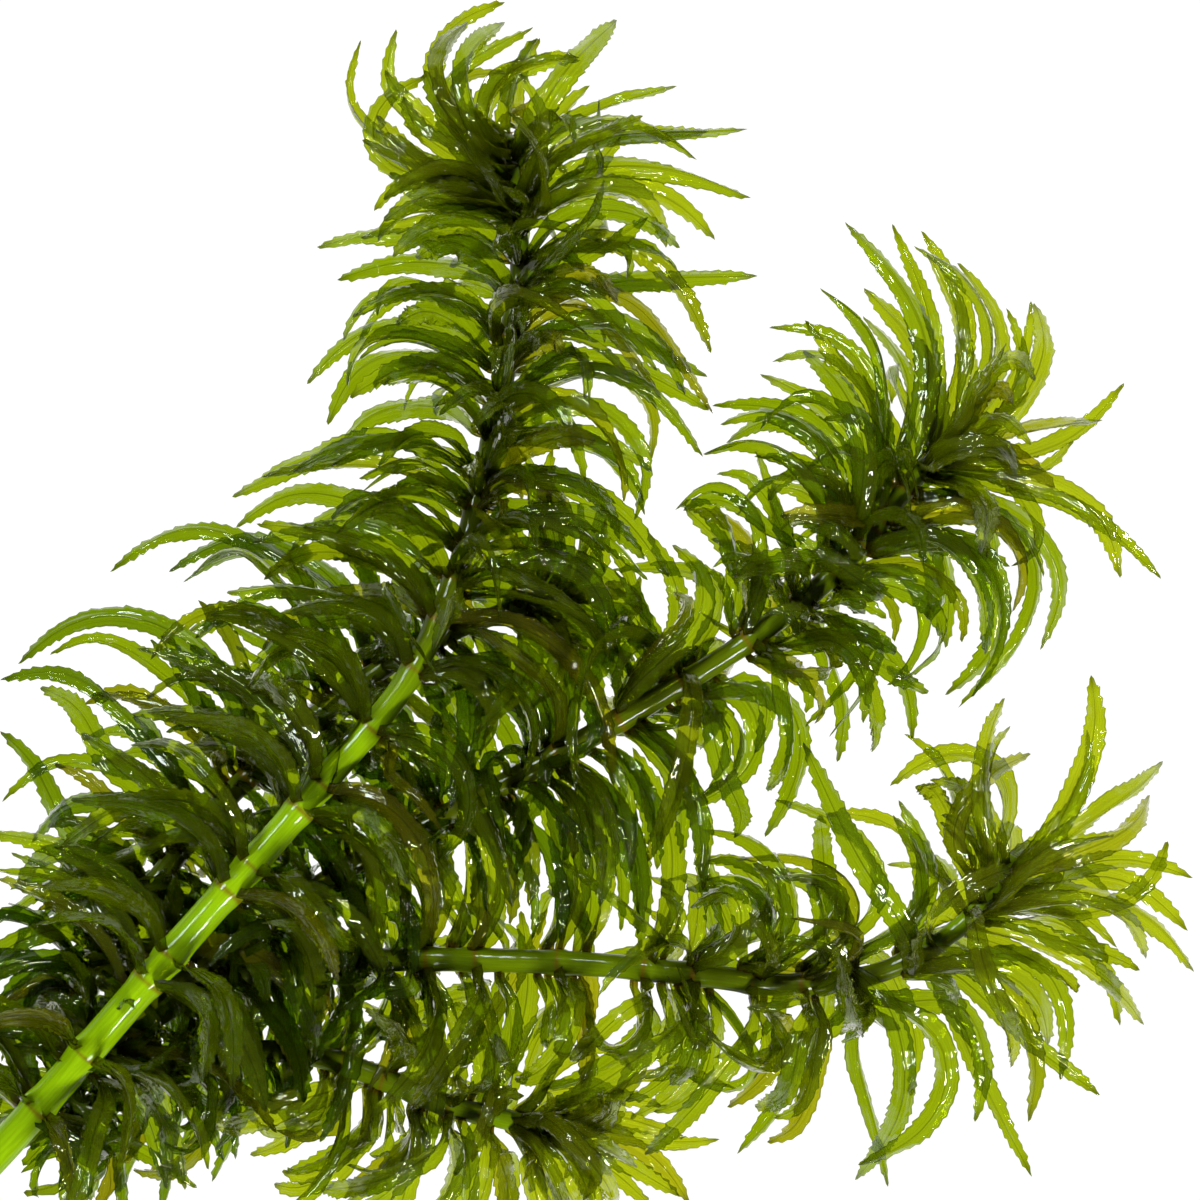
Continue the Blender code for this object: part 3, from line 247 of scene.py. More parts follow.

# Colours of a leaf and of a stem: LIGHT is what shines through, FACE is the surface
# The darkest leaf colours belong to old leaves and also paint the shade on the lower leaves under the
# tangle
LEAF_LIGHT = {"old": (0.12, 0.17, 0.004, 1.0), "grown": (0.42, 0.50, 0.01, 1.0),
              "fresh": (0.70, 0.76, 0.03, 1.0), "patch": (0.64, 0.60, 0.03, 1.0),
              "brown": (0.62, 0.48, 0.05, 1.0)}
LEAF_FACE = {"old": (0.105, 0.22, 0.001, 1.0), "grown": (0.34, 0.48, 0.002, 1.0),
             "fresh": (0.55, 0.65, 0.008, 1.0), "brown": (0.50, 0.36, 0.01, 1.0),
             "root": (0.42, 0.20, 0.012, 1.0)}
STEM_LIGHT = {"green": (0.62, 0.88, 0.015, 1.0), "olive": (0.27, 0.24, 0.008, 1.0),
              "ring": (0.60, 0.34, 0.03, 1.0)}
STEM_FACE = {"green": (0.31, 0.53, 0.002, 1.0), "olive": (0.072, 0.09, 0.001, 1.0),
             "ring": (0.21, 0.12, 0.006, 1.0)}
# Noise scales of the colour patches and of the dents in a leaf, and of the patches on a stem
PATCH_SCALE = 260.0
DENT_SCALE = 700.0
STEM_PATCH_SCALE = 420.0
# The glossy film over leaves and stems
FILM_ROUGHNESS = 0.05
FILM_INDEX = 1.36

# The table's half width and depth below the plant, its glow near the plant and far from it, and the
# distances between which that changes
TABLE_REACH = 2.0
TABLE_DEPTH = 0.3 * MM
GLOW_NEAR, GLOW_FAR = 1.06, 0.45
GLOW_FROM, GLOW_TO = 0.10, 0.30
# Colour and strength of the light from all round
SKY = (0.94, 0.97, 1.0, 1.0)
SKY_STRENGTH = 0.10
# Soft lamps: where they hang, their two sides in metres, watts and colour
LAMPS = {"key": ((0.136, -0.264, 0.34), (0.16, 0.05), 2.1, (1.0, 1.0, 1.0)),
         "window": ((-0.22, 0.20, 0.34), (0.13, 0.08), 1.4, (0.88, 0.95, 1.0)),
         "fill": ((0.0, 0.28, 0.34), (0.10, 0.05), 0.75, (0.95, 0.98, 1.0))}


def place(px, py, height):
    """Point of the plant that shows at a pixel of the picture when it is at this height."""
    reach = PIXEL * (EYE - height) / EYE
    return np.array(((px - CENTRE) * reach, (CENTRE - py) * reach, height)) - ORIGIN


def unit(vector):
    return vector / max(np.linalg.norm(vector), 1e-12)


def unit_rows(rows):
    return rows / np.maximum(np.linalg.norm(rows, axis=1, keepdims=True), 1e-12)


def ease(low, high, value):
    """0 below low, 1 above high, and smooth between."""
    share = np.clip((value - low) / (high - low), 0.0, 1.0)
    return share * share * (3 - 2 * share)


def chord_lengths(rows):
    steps = np.linalg.norm(np.diff(rows[:, :3], axis=0), axis=1)
    return np.concatenate(([0.0], np.cumsum(steps)))


def even_rows(rows, count):
    """The same polyline with evenly spaced rows."""
    along = chord_lengths(rows)
    wanted = np.linspace(0.0, along[-1], count)
    return np.stack([np.interp(wanted, along, column) for column in rows.T], axis=1)


def smooth_route(knots, count):
    """Smooth curve through the knots, as evenly spaced rows."""
    knots = np.asarray(knots, float)
    at = chord_lengths(knots)
    slopes = np.gradient(knots, at, axis=0)
    fine = np.linspace(0.0, at[-1], FINER_STEPS * count)
    span = np.clip(np.searchsorted(at, fine, side="right") - 1, 0, len(at) - 2)
    width = (at[span + 1] - at[span])[:, None]
    t = (fine - at[span])[:, None] / width
    rows = ((2 * t**3 - 3 * t**2 + 1) * knots[span] + (t**3 - 2 * t**2 + t) * width * slopes[span]
            + (3 * t**2 - 2 * t**3) * knots[span + 1] + (t**3 - t**2) * width * slopes[span + 1])
    return even_rows(rows, count)


def relaxed(path):
    """A leaf's middle line with its sharpest bends eased, its root and its tip kept."""
    path = path.copy()
    for _ in range(EASING_ROUNDS):
        path[2:-1] = (path[1:-2] + 2 * path[2:-1] + path[3:]) / 4
    return path


def stem_route(name):
    """Rows of x, y, z, radius, from the foot of a stem to the end of its shoot."""
    knots = [[*place(px, py, h * MM), r * MM] for px, py, h, r in STEMS[name]]
    if name in FORKS:
        parent = stem_route("a")
        near = nearest_row(parent, place(*FORKS[name], FORK_HEIGHT))
        heading = unit(parent[near + 1, :3] - parent[near, :3])
        away = np.array(knots[0][:3]) - parent[near, :3]
        outward = unit(away - heading * np.dot(away, heading))
        foot = parent[near, :3] + outward * FOOT_SHARE * parent[near, 3]
        neck = parent[near, :3] + outward * (parent[near, 3] + NECK_REACH)
        knots = [[*foot, FOOT_RADIUS], [*neck, NECK_RADIUS]] + knots
    rows = smooth_route(knots, ROUTE_ROWS)
    return even_rows(rows, int(chord_lengths(rows)[-1] / ROUTE_STEP) + 1)


def nearest_row(route, point):
    return int(np.argmin(np.linalg.norm(route[:, :3] - point, axis=1)))


def heading_at(route, row):
    """Direction of a shoot at a row, from two rows below to two above."""
    low = max(row - 2, 0)
    high = min(row + 2, len(route) - 1)
    return unit(route[high, :3] - route[low, :3])


def shoot_frame(route, row):
    """Three directions at a row of a shoot: along it, level across it, and up from it."""
    along = heading_at(route, row)
    level = unit(np.cross(UP, along))
    return np.array((along, level, np.cross(along, level)))


def spin_frame(directions, spin):
    """The same three directions turned about the first."""
    along, level, upright = directions
    return np.array((along, level * math.cos(spin) + upright * math.sin(spin),
                     upright * math.cos(spin) - level * math.sin(spin)))


def settled(points):
    """Points near the table bent over so that they lie just above it."""
    low = points[:, 2] < REST
    points[low, 2] = REST * np.exp(points[low, 2] / REST - 1)
    return points


class Blade:
    """A leaf's middle line from the stem to its tip, and the way its width and face lie."""

    def __init__(self, points, widths, faces, seat, seed, size=1.0):
        self.points = points
        self.widths = widths
        self.faces = faces
        self.seat = seat
        self.seed = seed
        self.size = size

    def moved(self, route, start, end, spin, seed, size):
        """The same leaf carried to another row of its shoot, turned about it and made smaller."""
        frame_there = shoot_frame(route, end)
        turn = spin_frame(shoot_frame(route, start), spin).T @ frame_there
        points = self.seat + (self.points - self.seat) * size - route[start, :3]
        points = points @ turn + route[end, :3]
        seat = (self.seat - route[start, :3]) @ turn + route[end, :3]
        outward = seat - route[end, :3]
        outward = unit(outward - frame_there[0] * np.dot(outward, frame_there[0]))
        shift = outward * (route[end, 3] - route[start, 3])
        points = settled(points + shift)
        return Blade(points, self.widths @ turn, self.faces @ turn, seat + shift, seed,
                     self.size * (WIDTH_KEPT + (1 - WIDTH_KEPT) * size))

    def coarse(self):
        """A plain ribbon with a ridge, to see what the leaf would cut."""
        half = (HALF_WIDTH * self.size * np.interp(np.linspace(0, 1, PATH_ROWS), *PROFILE))[:, None]
        ridge = THICKNESS.max()
        sides = [self.points + self.widths * half, self.points + self.faces * ridge,
                 self.points - self.widths * half]
        rows = range(HIDDEN_ROWS, PATH_ROWS - 1)
        points = [sides[corner][row].tolist() for row in rows for corner in range(3)]
        faces = []
        for low in range(0, len(points) - 3, 3):
            for corner in range(3):
                after = (corner + 1) % 3
                faces.append((low + corner, low + after, low + after + 3, low + corner + 3))
        return BVHTree.FromPolygons(points, faces)


def welded(node):
    """Points and neighbours of a node's mesh, with corners in the same place joined."""
    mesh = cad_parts[node].data
    mesh.calc_loop_triangles()
    corners = np.array([vertex.co for vertex in mesh.vertices])
    keys, index = np.unique(np.round(corners / WELD), axis=0, return_inverse=True)
    index = index.reshape(-1)
    points = np.zeros((len(keys), 3))
    points[index] = corners
    neighbours = [set() for _ in points]
    for triangle in mesh.loop_triangles:
        a, b, c = (int(index[v]) for v in triangle.vertices)
        if a != b and b != c and c != a:
            neighbours[a] |= {b, c}
            neighbours[b] |= {a, c}
            neighbours[c] |= {a, b}
    return points, neighbours


def leaves_of(node, route):
    """The leaves of a whorl or tip of the frame, each followed back from its tip to its seat."""
    points, neighbours = welded(node)
    blades = []
    for tip in range(len(points)):
        if len(neighbours[tip]) != SECTION_CORNERS:
            continue
        levels = [neighbours[tip]]
        seen = {tip} | levels[0]
        while len(levels[-1]) == SECTION_CORNERS:
            found = set().union(*(neighbours[corner] for corner in levels[-1])) - seen
            seen |= found
            levels.append(found)
        if len(levels[-1]) == SEAT_CORNERS:
            stations = [points[sorted(level)] for level in reversed(levels)]
            seed = f"{node} {len(blades)}"
            blades.append(blade_from(stations[0], stations[1:], points[tip], route, seed))
    return blades


def blade_from(seat_corners, sections, tip, route, seed):
    """Smooth middle line through a leaf's seat, its three-cornered sections and its tip."""
    seat = seat_corners.mean(axis=0)
    row = nearest_row(route, seat)
    along = heading_at(route, row)
    outward = seat - route[row, :3]
    outward = unit(outward - along * np.dot(outward, along))
    middles, faces, edges = [], [], []
    for corners in sections:
        spans = [np.linalg.norm(corners[(k + 1) % 3] - corners[(k + 2) % 3]) for k in range(3)]
        ridge = int(np.argmax(spans))
        left, right = corners[(ridge + 1) % 3], corners[(ridge + 2) % 3]
        middles.append((left + right) / 2)
        faces.append(unit(corners[ridge] - middles[-1]))
        edges.append(unit(left - right))
    root = seat - outward * ROOT_DEPTH
    knots = np.array([root, seat] + middles + [tip])
    path = relaxed(smooth_route(knots, PATH_ROWS))
    tangents = unit_rows(np.gradient(path, axis=0))
    at = chord_lengths(knots)
    where = np.linspace(0.0, at[-1], PATH_ROWS)
    near = [int(np.argmin(np.abs(where - spot))) for spot in at[2:-1]]
    widths = [np.cross(along, outward)] * 2
    for face, edge, step in zip(faces, edges, near):
        widths.append(edge if np.dot(edge, np.cross(face, tangents[step])) > 0 else -edge)
    widths.append(widths[-1])
    widths = np.stack([np.interp(where, at, column) for column in np.array(widths).T], axis=1)
    widths = unit_rows(widths - tangents * np.sum(widths * tangents, axis=1, keepdims=True))
    return Blade(path, widths, np.cross(tangents, widths), seat, seed)


def drawn_leaf(marks, size, route, seed):
    """A leaf through marked points, from the stem to its tip, its face turned up."""
    spots = [place(px, py, height * MM) for px, py, height in marks]
    row = nearest_row(route, spots[0])
    along = heading_at(route, row)
    outward = spots[1] - route[row, :3]
    outward = unit(outward - along * np.dot(outward, along))
    seat = route[row, :3] + outward * route[row, 3]
    path = relaxed(smooth_route([seat - outward * ROOT_DEPTH, seat] + spots[1:], PATH_ROWS))
    tangents = unit_rows(np.gradient(path, axis=0))
    at_seat = np.cross(along, outward)
    lying = unit_rows(np.cross(tangents, UP + LEAN * along))
    lying *= np.sign(lying[1] @ at_seat)
    turn = ease(0.0, LYING_FROM, np.linspace(0.0, 1.0, PATH_ROWS))[:, None]
    widths = at_seat * (1 - turn) + lying * turn
    widths = unit_rows(widths - tangents * np.sum(widths * tangents, axis=1, keepdims=True))
    return Blade(path, widths, np.cross(tangents, widths), seat, seed, size)


def blade_skin(blade):
    """Points, faces and places across and along a leaf: a thin closed blade with toothed margins."""
    rng = random.Random(blade.seed)
    length = chord_lengths(blade.points)[-1]
    teeth = max(FEWEST_TEETH, round(length / TOOTH_PITCH))
    rows = teeth * ROWS_PER_TOOTH
    path = even_rows(np.hstack((blade.points, blade.widths, blade.faces)), rows + 1)
    along = np.linspace(0.0, 1.0, rows + 1)
    middle = path[:, :3]
    tangents = unit_rows(np.gradient(middle, axis=0))
    sway = math.radians(rng.uniform(-SWAY, SWAY))
    sway = sway * np.sin(along * rng.uniform(*SWAY_WAVES) + rng.uniform(*ANY_START))
    widths = unit_rows(path[:, 3:6] * np.cos(sway)[:, None] + path[:, 6:9] * np.sin(sway)[:, None])
    faces = np.cross(tangents, widths)
    half = HALF_WIDTH * blade.size * rng.uniform(*WIDTH_SHARES) * np.interp(along, *PROFILE)

    reach = half[:, None] * COLUMNS[None, :]
    forward = np.zeros_like(reach)
    toothed = ease(*TEETH_BEGIN, along) * (1 - ease(*TEETH_END, along)) * TOOTH_HEIGHT
    for side, start in ((-1, 0), (1, rng.randrange(ROWS_PER_TOOTH))):
        phase = ((np.arange(rows + 1) + start) % ROWS_PER_TOOTH) / (ROWS_PER_TOOTH - 1)
        sizes = [rng.uniform(*TOOTH_SIZES) for _ in range(teeth + 2)]
        size = np.repeat(sizes, ROWS_PER_TOOTH)[:rows + 1]
        rim = side * COLUMNS > RIM
        reach[:, rim] += side * (toothed * phase * size)[:, None]
        forward[:, rim] = (TOOTH_LEAN * length / rows * phase * size)[:, None]

    fold = math.radians(rng.triangular(*FOLDS)) + ROOT_FOLD * np.exp(-along / ROOT_FOLD_REACH)
    rise = (np.sin(fold) * half)[:, None] * np.abs(COLUMNS[None, :])**FOLD_POWER
    reach *= np.cos(fold)[:, None]
    for side in (-1, 1):
        wave = rng.uniform(*WAVE_HEIGHTS) * MM
        wave = wave * np.sin(along * rng.uniform(*WAVE_COUNTS) + rng.uniform(*ANY_START))
        wave = wave * ease(*WAVES_BEGIN, along) * (1 - ease(*WAVES_END, along))
        rise += wave[:, None] * np.maximum(side * COLUMNS, 0.0)[None, :]**2
    taper = np.minimum(1.0, 4 * (1 - along)) * blade.size
    taper[0] = 0.0
    body = taper[:, None] * THICKNESS[None, :] / 2
    keel = taper[:, None] * KEEL[None, :]

    base = (middle[:, None, :] + widths[:, None, :] * reach[:, :, None]
            + tangents[:, None, :] * forward[:, :, None] + faces[:, None, :] * rise[:, :, None])
    upper = base + faces[:, None, :] * (body - GROOVE * keel)[:, :, None]
    lower = base - faces[:, None, :] * (body + keel)[:, :, None]
    return close_blade(upper, lower, middle[-1], along, rows)


def close_blade(upper, lower, tip, along, rows):
    """Join the two faces of a blade along its margins, its root and its tip."""
    wide = len(COLUMNS)
    top = np.arange(rows * wide).reshape(rows, wide)
    under = top.copy()
    inner = rows * wide + np.arange((rows - 1) * (wide - 2)).reshape(rows - 1, wide - 2)
    under[1:, 1:-1] = inner
    tip_index = rows * wide + inner.size
    lower = lower[1:rows, 1:-1]
    points = np.concatenate((upper[:rows].reshape(-1, 3), lower.reshape(-1, 3), tip[None]))
    points[:, 2] = np.maximum(points[:, 2], 0.0)
    across = (COLUMNS + 1) / 2
    upper_places = np.stack(np.broadcast_arrays(across[None, :], along[:rows, None]), axis=-1)
    lower_places = upper_places[1:, 1:-1]
    places = np.concatenate((upper_places.reshape(-1, 2), lower_places.reshape(-1, 2), [[0.5, 1.0]]))
    quads = [np.stack((top[:-1, 1:], top[:-1, :-1], top[1:, :-1], top[1:, 1:]), axis=-1),
             np.stack((under[:-1, :-1], under[:-1, 1:], under[1:, 1:], under[1:, :-1]), axis=-1)]
    quads = [corners.reshape(-1, 4) for corners in quads]
    ends = np.full(wide - 1, tip_index)
    triangles = [np.stack((top[-1, 1:], top[-1, :-1], ends), axis=-1),
                 np.stack((under[-1, :-1], under[-1, 1:], ends), axis=-1)]
    return points, np.concatenate(quads), np.concatenate(triangles), places


def tube_skin(route, radii, sides, marks):
    """Closed round tube along a route, with places round and along it and a mark for each ring."""
    count = len(route)
    tangents = unit_rows(np.gradient(route[:, :3], axis=0))
    level = unit_rows(np.cross(UP, tangents))
    upright = np.cross(tangents, level)
    turn = np.linspace(0.0, 2 * math.pi, sides, endpoint=False)
    spokes = (level[:, None, :] * np.cos(turn)[None, :, None]
              + upright[:, None, :] * np.sin(turn)[None, :, None])
    points = (route[:, None, :3] + spokes * radii[:, :, None]).reshape(-1, 3)
    points = np.concatenate((points, route[:1, :3], route[-1:, :3]))
    ring = np.arange(count * sides).reshape(count, sides)
    after = np.roll(ring, -1, axis=1)
    quads = np.stack((ring[:-1], after[:-1], after[1:], ring[1:]), axis=-1).reshape(-1, 4)
    start, end = count * sides, count * sides + 1
    triangles = np.concatenate((
        np.stack((after[0], ring[0], np.full(sides, start)), axis=-1),
        np.stack((ring[-1], after[-1], np.full(sides, end)), axis=-1)))
    along = chord_lengths(route)
    around = np.abs(np.linspace(0.0, 2.0, sides, endpoint=False) - 1.0)
    places = np.broadcast_arrays(around[None, :], along[:, None] / STEM_UNIT)
    places = np.stack(places, axis=-1).reshape(-1, 2)
    places = np.concatenate((places, [[0.5, 0.0], [0.5, along[-1] / STEM_UNIT]]))
    marks = np.concatenate((np.repeat(marks, sides), marks[:1], marks[-1:]))
    return points, quads, triangles, places, marks


def build_mesh(name, parts, finishes):
    """One mesh from several skins: points, quads, triangles, places, tone and finish of each."""
    points, corners, counts, places, tones, looks = [], [], [], [], [], []
    first = 0
    for skin_points, quads, triangles, skin_places, tone, look in parts:
        points.append(skin_points)
        corners += [(quads + first).ravel(), (triangles + first).ravel()]
        counts += [np.full(len(quads), 4), np.full(len(triangles), 3)]
        looks.append(np.full(len(quads) + len(triangles), look))
        places.append(skin_places)
        tones.append(np.broadcast_to(tone, (len(skin_points), 4)))
        first += len(skin_points)
    points, corners, counts = np.concatenate(points), np.concatenate(corners), np.concatenate(counts)
    mesh = bpy.data.meshes.new(name)
    mesh.vertices.add(len(points))
    mesh.vertices.foreach_set("co", points.ravel())
    mesh.loops.add(len(corners))
    mesh.loops.foreach_set("vertex_index", corners)
    mesh.polygons.add(len(counts))
    mesh.polygons.foreach_set("loop_start", np.concatenate(([0], np.cumsum(counts)[:-1])))
    mesh.polygons.foreach_set("material_index", np.concatenate(looks))
    mesh.update(calc_edges=True)
    layer = mesh.uv_layers.new(name="UVMap")
    layer.data.foreach_set("uv", np.concatenate(places)[corners].ravel())
    colour = mesh.color_attributes.new("tone", "FLOAT_COLOR", "POINT")
    colour.data.foreach_set("color", np.concatenate(tones).ravel())
    for finish in finishes:
        mesh.materials.append(finish)
    mesh.shade_smooth()
    mesh.set_sharp_from_angle(angle=SHARP)
    piece = bpy.data.objects.new(name, mesh)
    bpy.context.scene.collection.objects.link(piece)
    return piece


class Recipe:
    """Short ways to put together one material's nodes."""

    def __init__(self, name):
        self.material = bpy.data.materials.new(name)
        self.material.use_nodes = True
        self.tree = self.material.node_tree
        self.tree.nodes.clear()

    def add(self, kind, **inputs):
        node = self.tree.nodes.new(kind)
        for key, value in inputs.items():
            self.feed(node.inputs[key], value)
        return node

    def feed(self, socket, value):
        if isinstance(value, bpy.types.NodeSocket):
            self.tree.links.new(value, socket)
        else:
            socket.default_value = value

    def maths(self, operation, first, second=0.0, third=0.0):
        node = self.tree.nodes.new("ShaderNodeMath")
        node.operation = operation
        for socket, value in zip(node.inputs, (first, second, third)):
            self.feed(socket, value)
        return node.outputs[0]

    def ramp(self, value, low, high, start=0.0, end=1.0):
        """A value eased from start to end as another goes from low to high."""
        node = self.tree.nodes.new("ShaderNodeMapRange")
        node.interpolation_type = "SMOOTHSTEP"
        for socket, number in zip(node.inputs, (value, low, high, start, end)):
            self.feed(socket, number)
        return node.outputs[0]

    def blend(self, share, first, second):
        node = self.tree.nodes.new("ShaderNodeMix")
        node.data_type = "RGBA"
        self.feed(node.inputs[0], share)
        self.feed(node.inputs[6], first)
        self.feed(node.inputs[7], second)
        return node.outputs[2]

    def scaled(self, colour, share):
        """A colour made darker by a share."""
        node = self.tree.nodes.new("ShaderNodeVectorMath")
        node.operation = "SCALE"
        self.feed(node.inputs[0], colour)
        self.feed(node.inputs["Scale"], share)
        return node.outputs[0]

    def noise(self, vector, scale, detail):
        return self.add("ShaderNodeTexNoise", Vector=vector, Scale=scale, Detail=detail).outputs[0]

    def bump(self, height, strength, distance):
        node = self.add("ShaderNodeBump", Strength=strength, Distance=distance, Height=height)
        return node.outputs[0]

    def drawn_out(self, u, v, across, along, third=0.0):
        """Coordinates for streaks: so many across a piece, and so many to a unit of its length."""
        node = self.add("ShaderNodeCombineXYZ", X=self.maths("MULTIPLY", u, across),
                        Y=self.maths("MULTIPLY", v, along), Z=third)
        return node.outputs[0]

    def places_and_tones(self):
        """Places across and along a piece, its three tones, and where on the plant each point is."""
        places = self.add("ShaderNodeUVMap")
        places.uv_map = "UVMap"
        split = self.add("ShaderNodeSeparateXYZ", Vector=places.outputs[0])
        tone = self.add("ShaderNodeAttribute")
        tone.attribute_name = "tone"
        parts = self.add("ShaderNodeSeparateColor", Color=tone.outputs["Color"])
        spot = self.add("ShaderNodeTexCoord").outputs["Object"]
        return (*split.outputs[:2], *parts.outputs[:3], spot)

    def finish(self, front, through, share, roughness, bump, film, coat, clear, index):
        """Gloss over a thin leaf or stem that is partly clear and also scatters light through."""
        gloss = self.add("ShaderNodeBsdfPrincipled", **{"Base Color": front, "Roughness": roughness})
        gloss.distribution = "GGX"
        gloss.inputs["Specular IOR Level"].default_value = 0.5
        gloss.inputs["IOR"].default_value = index
        gloss.inputs["Transmission Weight"].default_value = clear
        gloss.inputs["Coat Weight"].default_value = coat
        gloss.inputs["Coat Roughness"].default_value = FILM_ROUGHNESS
        gloss.inputs["Coat IOR"].default_value = FILM_INDEX
        scatter = self.add("ShaderNodeBsdfTranslucent", Color=through)
        for node in (gloss, scatter):
            self.feed(node.inputs["Normal"], bump)
        self.feed(gloss.inputs["Coat Normal"], film)
        mix = self.add("ShaderNodeMixShader")
        self.feed(mix.inputs[0], share)
        self.tree.links.new(gloss.outputs[0], mix.inputs[1])
        self.tree.links.new(scatter.outputs[0], mix.inputs[2])
        return self.surface(mix)

    def surface(self, shader):
        output = self.add("ShaderNodeOutputMaterial")
        self.tree.links.new(shader.outputs[0], output.inputs["Surface"])
        return self.material


def leaf_finish():
    """Glossy leaf with light coming through it: darker midrib, margins, tip and root, brown at its
    very root, with fine lengthwise veins."""
    r = Recipe("leaf")
    u, v, age_and_shade, brown, chance, spot = r.places_and_tones()
    across = r.maths("ABSOLUTE", r.maths("MULTIPLY_ADD", u, 2.0, -1.0))
    patches = r.noise(spot, PATCH_SCALE, 0.0)
    dents = r.noise(spot, DENT_SCALE, 0.0)
    veins = r.noise(r.drawn_out(u, v, 26.0, 5.0, r.maths("MULTIPLY", chance, 60.0)), 1.0, 0.0)
    ripples = r.noise(r.drawn_out(u, v, 5.0, 7.0, r.maths("MULTIPLY", chance, 45.0)), 1.0, 0.0)

    midrib = r.ramp(across, 0.035, 0.10, 0.60, 1.0)
    margin = r.ramp(across, 0.86, 0.99, 1.0, 0.55)
    tip = r.ramp(v, 0.90, 1.0, 1.0, 0.45)
    root = r.ramp(v, 0.0, 0.30, 0.62, 1.0)
    shade = r.ramp(veins, 0.3, 0.7, 0.88, 1.05)
    for darker in (midrib, margin, tip, root):
        shade = r.maths("MULTIPLY", shade, darker)

    # Dark at 0: old leaves, and painted shade on the lower leaves under the tangle
    grown = r.ramp(age_and_shade, 0.0, 0.4)
    fresh = r.ramp(age_and_shade, 0.35, 1.0)
    tint = r.maths("MULTIPLY", r.ramp(patches, 0.35, 0.7), 0.2)
    through = r.blend(grown, LEAF_LIGHT["old"], LEAF_LIGHT["grown"])
    through = r.blend(fresh, through, LEAF_LIGHT["fresh"])
    through = r.blend(tint, through, LEAF_LIGHT["patch"])
    through = r.blend(brown, through, LEAF_LIGHT["brown"])
    front = r.blend(grown, LEAF_FACE["old"], LEAF_FACE["grown"])
    front = r.blend(fresh, front, LEAF_FACE["fresh"])
    front = r.blend(brown, front, LEAF_FACE["brown"])
    front = r.blend(r.ramp(v, 0.02, 0.09, 0.7, 0.0), front, LEAF_FACE["root"])

    bump = r.bump(dents, 0.3, 0.6 * MM)
    film = r.bump(r.maths("MULTIPLY_ADD", dents, 0.5, ripples), 1.0, 0.3 * MM)
    roughness = r.ramp(patches, 0.3, 0.7, 0.08, 0.22)
    return r.finish(r.scaled(front, shade), r.scaled(through, shade), share=0.13, roughness=roughness,
                    bump=bump, film=film, coat=1.0, clear=0.92, index=1.04)


def stem_finish():
    """Glossy stem: lime green where it is young, olive brown elsewhere, orange brown at the nodes,
    with fine lengthwise lines."""
    r = Recipe("stem")
    u, v, node_mark, olive, dark, spot = r.places_and_tones()
    patches = r.noise(spot, STEM_PATCH_SCALE, 3.0)
    lines = r.noise(r.drawn_out(u, v, 18.0, 2.5), 1.0, 3.0)
    shade = r.ramp(lines, 0.3, 0.7, 0.85, 1.05)
    ring = r.ramp(r.maths("MULTIPLY_ADD", patches, 0.9, node_mark), 0.95, 1.55, 0.0, 0.8)

    through = r.blend(olive, STEM_LIGHT["green"], STEM_LIGHT["olive"])
    through = r.blend(ring, through, STEM_LIGHT["ring"])
    through = r.scaled(through, r.maths("MULTIPLY", shade, r.maths("SUBTRACT", 1.0, dark)))
    front = r.blend(olive, STEM_FACE["green"], STEM_FACE["olive"])
    front = r.blend(ring, front, STEM_FACE["ring"])
    bump = r.bump(lines, 0.2, 0.1 * MM)
    roughness = r.ramp(patches, 0.3, 0.7, 0.12, 0.22)
    return r.finish(r.scaled(front, shade), through, share=0.25, roughness=roughness,
                    bump=bump, film=bump, coat=0.8, clear=0.06, index=1.1)


def leaf_tone(blade, shoot, kind):
    """How young and how brown one leaf is, and a number of its own, as its colour; the lower leaves
    are painted darker, as shade under the tangle.
    """
    rng = random.Random("tone " + blade.seed)
    young = YOUNG[shoot] + rng.uniform(-YOUNG_VARIES, YOUNG_VARIES)
    if kind == "tip":
        young += YOUNGER_AT_TIP[shoot]
    # Painted shade: the lower leaves under the tangle are made darker
    if kind == "lower":
        young *= LOWER_SHADE_SHARE
    brown = max(0.0, rng.uniform(*BROWN))
    return (min(max(young, 0.0), 1.0), brown, rng.random(), 1.0)


def shoot_of(node):
    """The letter in the name of a whorl or tip."""
    return node.split("_")[1]


def further_leaves(node):
    """Rows of how many more leaves a whorl or tip gets, their reach, angle and smallest size."""
    kind, shoot, number = (node.split("_") + ["0"])[:3]
    if kind == "tip":
        return [(AT_TIPS[shoot], TIP_REACH, 0, TIP_SMALLEST)]
    return [row[3:] for row in MORE_LEAVES if shoot == row[0] and row[1] <= int(number) <= row[2]]


def more_leaves(node, blades, route, placed):
    """Further leaves between those of a whorl or tip."""
    rng = random.Random("more " + node)
    added = []
    for wanted, reach, angle, smallest in further_leaves(node):
        for _ in range(wanted):
            rows = [nearest_row(route, rng.choice(blades).seat) for _ in range(TRIES)]
            spots = [row + round(rng.uniform(-1, 1) * reach * MM / ROUTE_STEP) for row in rows]
            seed = f"{node} more {len(added)}"
            added += best_leaf(seed, rng, blades, route, spots, smallest, placed, angle)
    return added


def lower_leaves(shoot, blades, route, placed):
    """Leaves all along the lower part of a shoot."""
    rng = random.Random("lower " + shoot)
    wanted, first, last = LOWER_LEAVES[shoot]
    start, end = (nearest_row(route, place(px, py, LOWER_HEIGHT)) for px, py in (first, last))
    added = []
    for number in range(wanted):
        spots = [rng.randint(start, end) for _ in range(TRIES)]
        seed = f"{shoot} lower {number}"
        added += best_leaf(seed, rng, blades, route, spots, LOWER_SMALLEST, placed, may_stray=True)
    return added


def seen_from_above(points):
    """Where points show on the table to the eye."""
    return (points[:, :2] + ORIGIN[:2]) * (EYE / (EYE - points[:, 2:3]))


def strays(blade, outline):
    """Whether a leaf shows too far outside the leaves of the frame and the marked ones."""
    shown = seen_from_above(blade.points[4:])
    gaps = np.linalg.norm(shown[:, None, :] - outline[None, :, :], axis=2).min(axis=1)
    inside = np.all(np.abs(shown) < PICTURE / 2 * PIXEL, axis=1)
    return bool(np.any(gaps[inside] > STRAY))


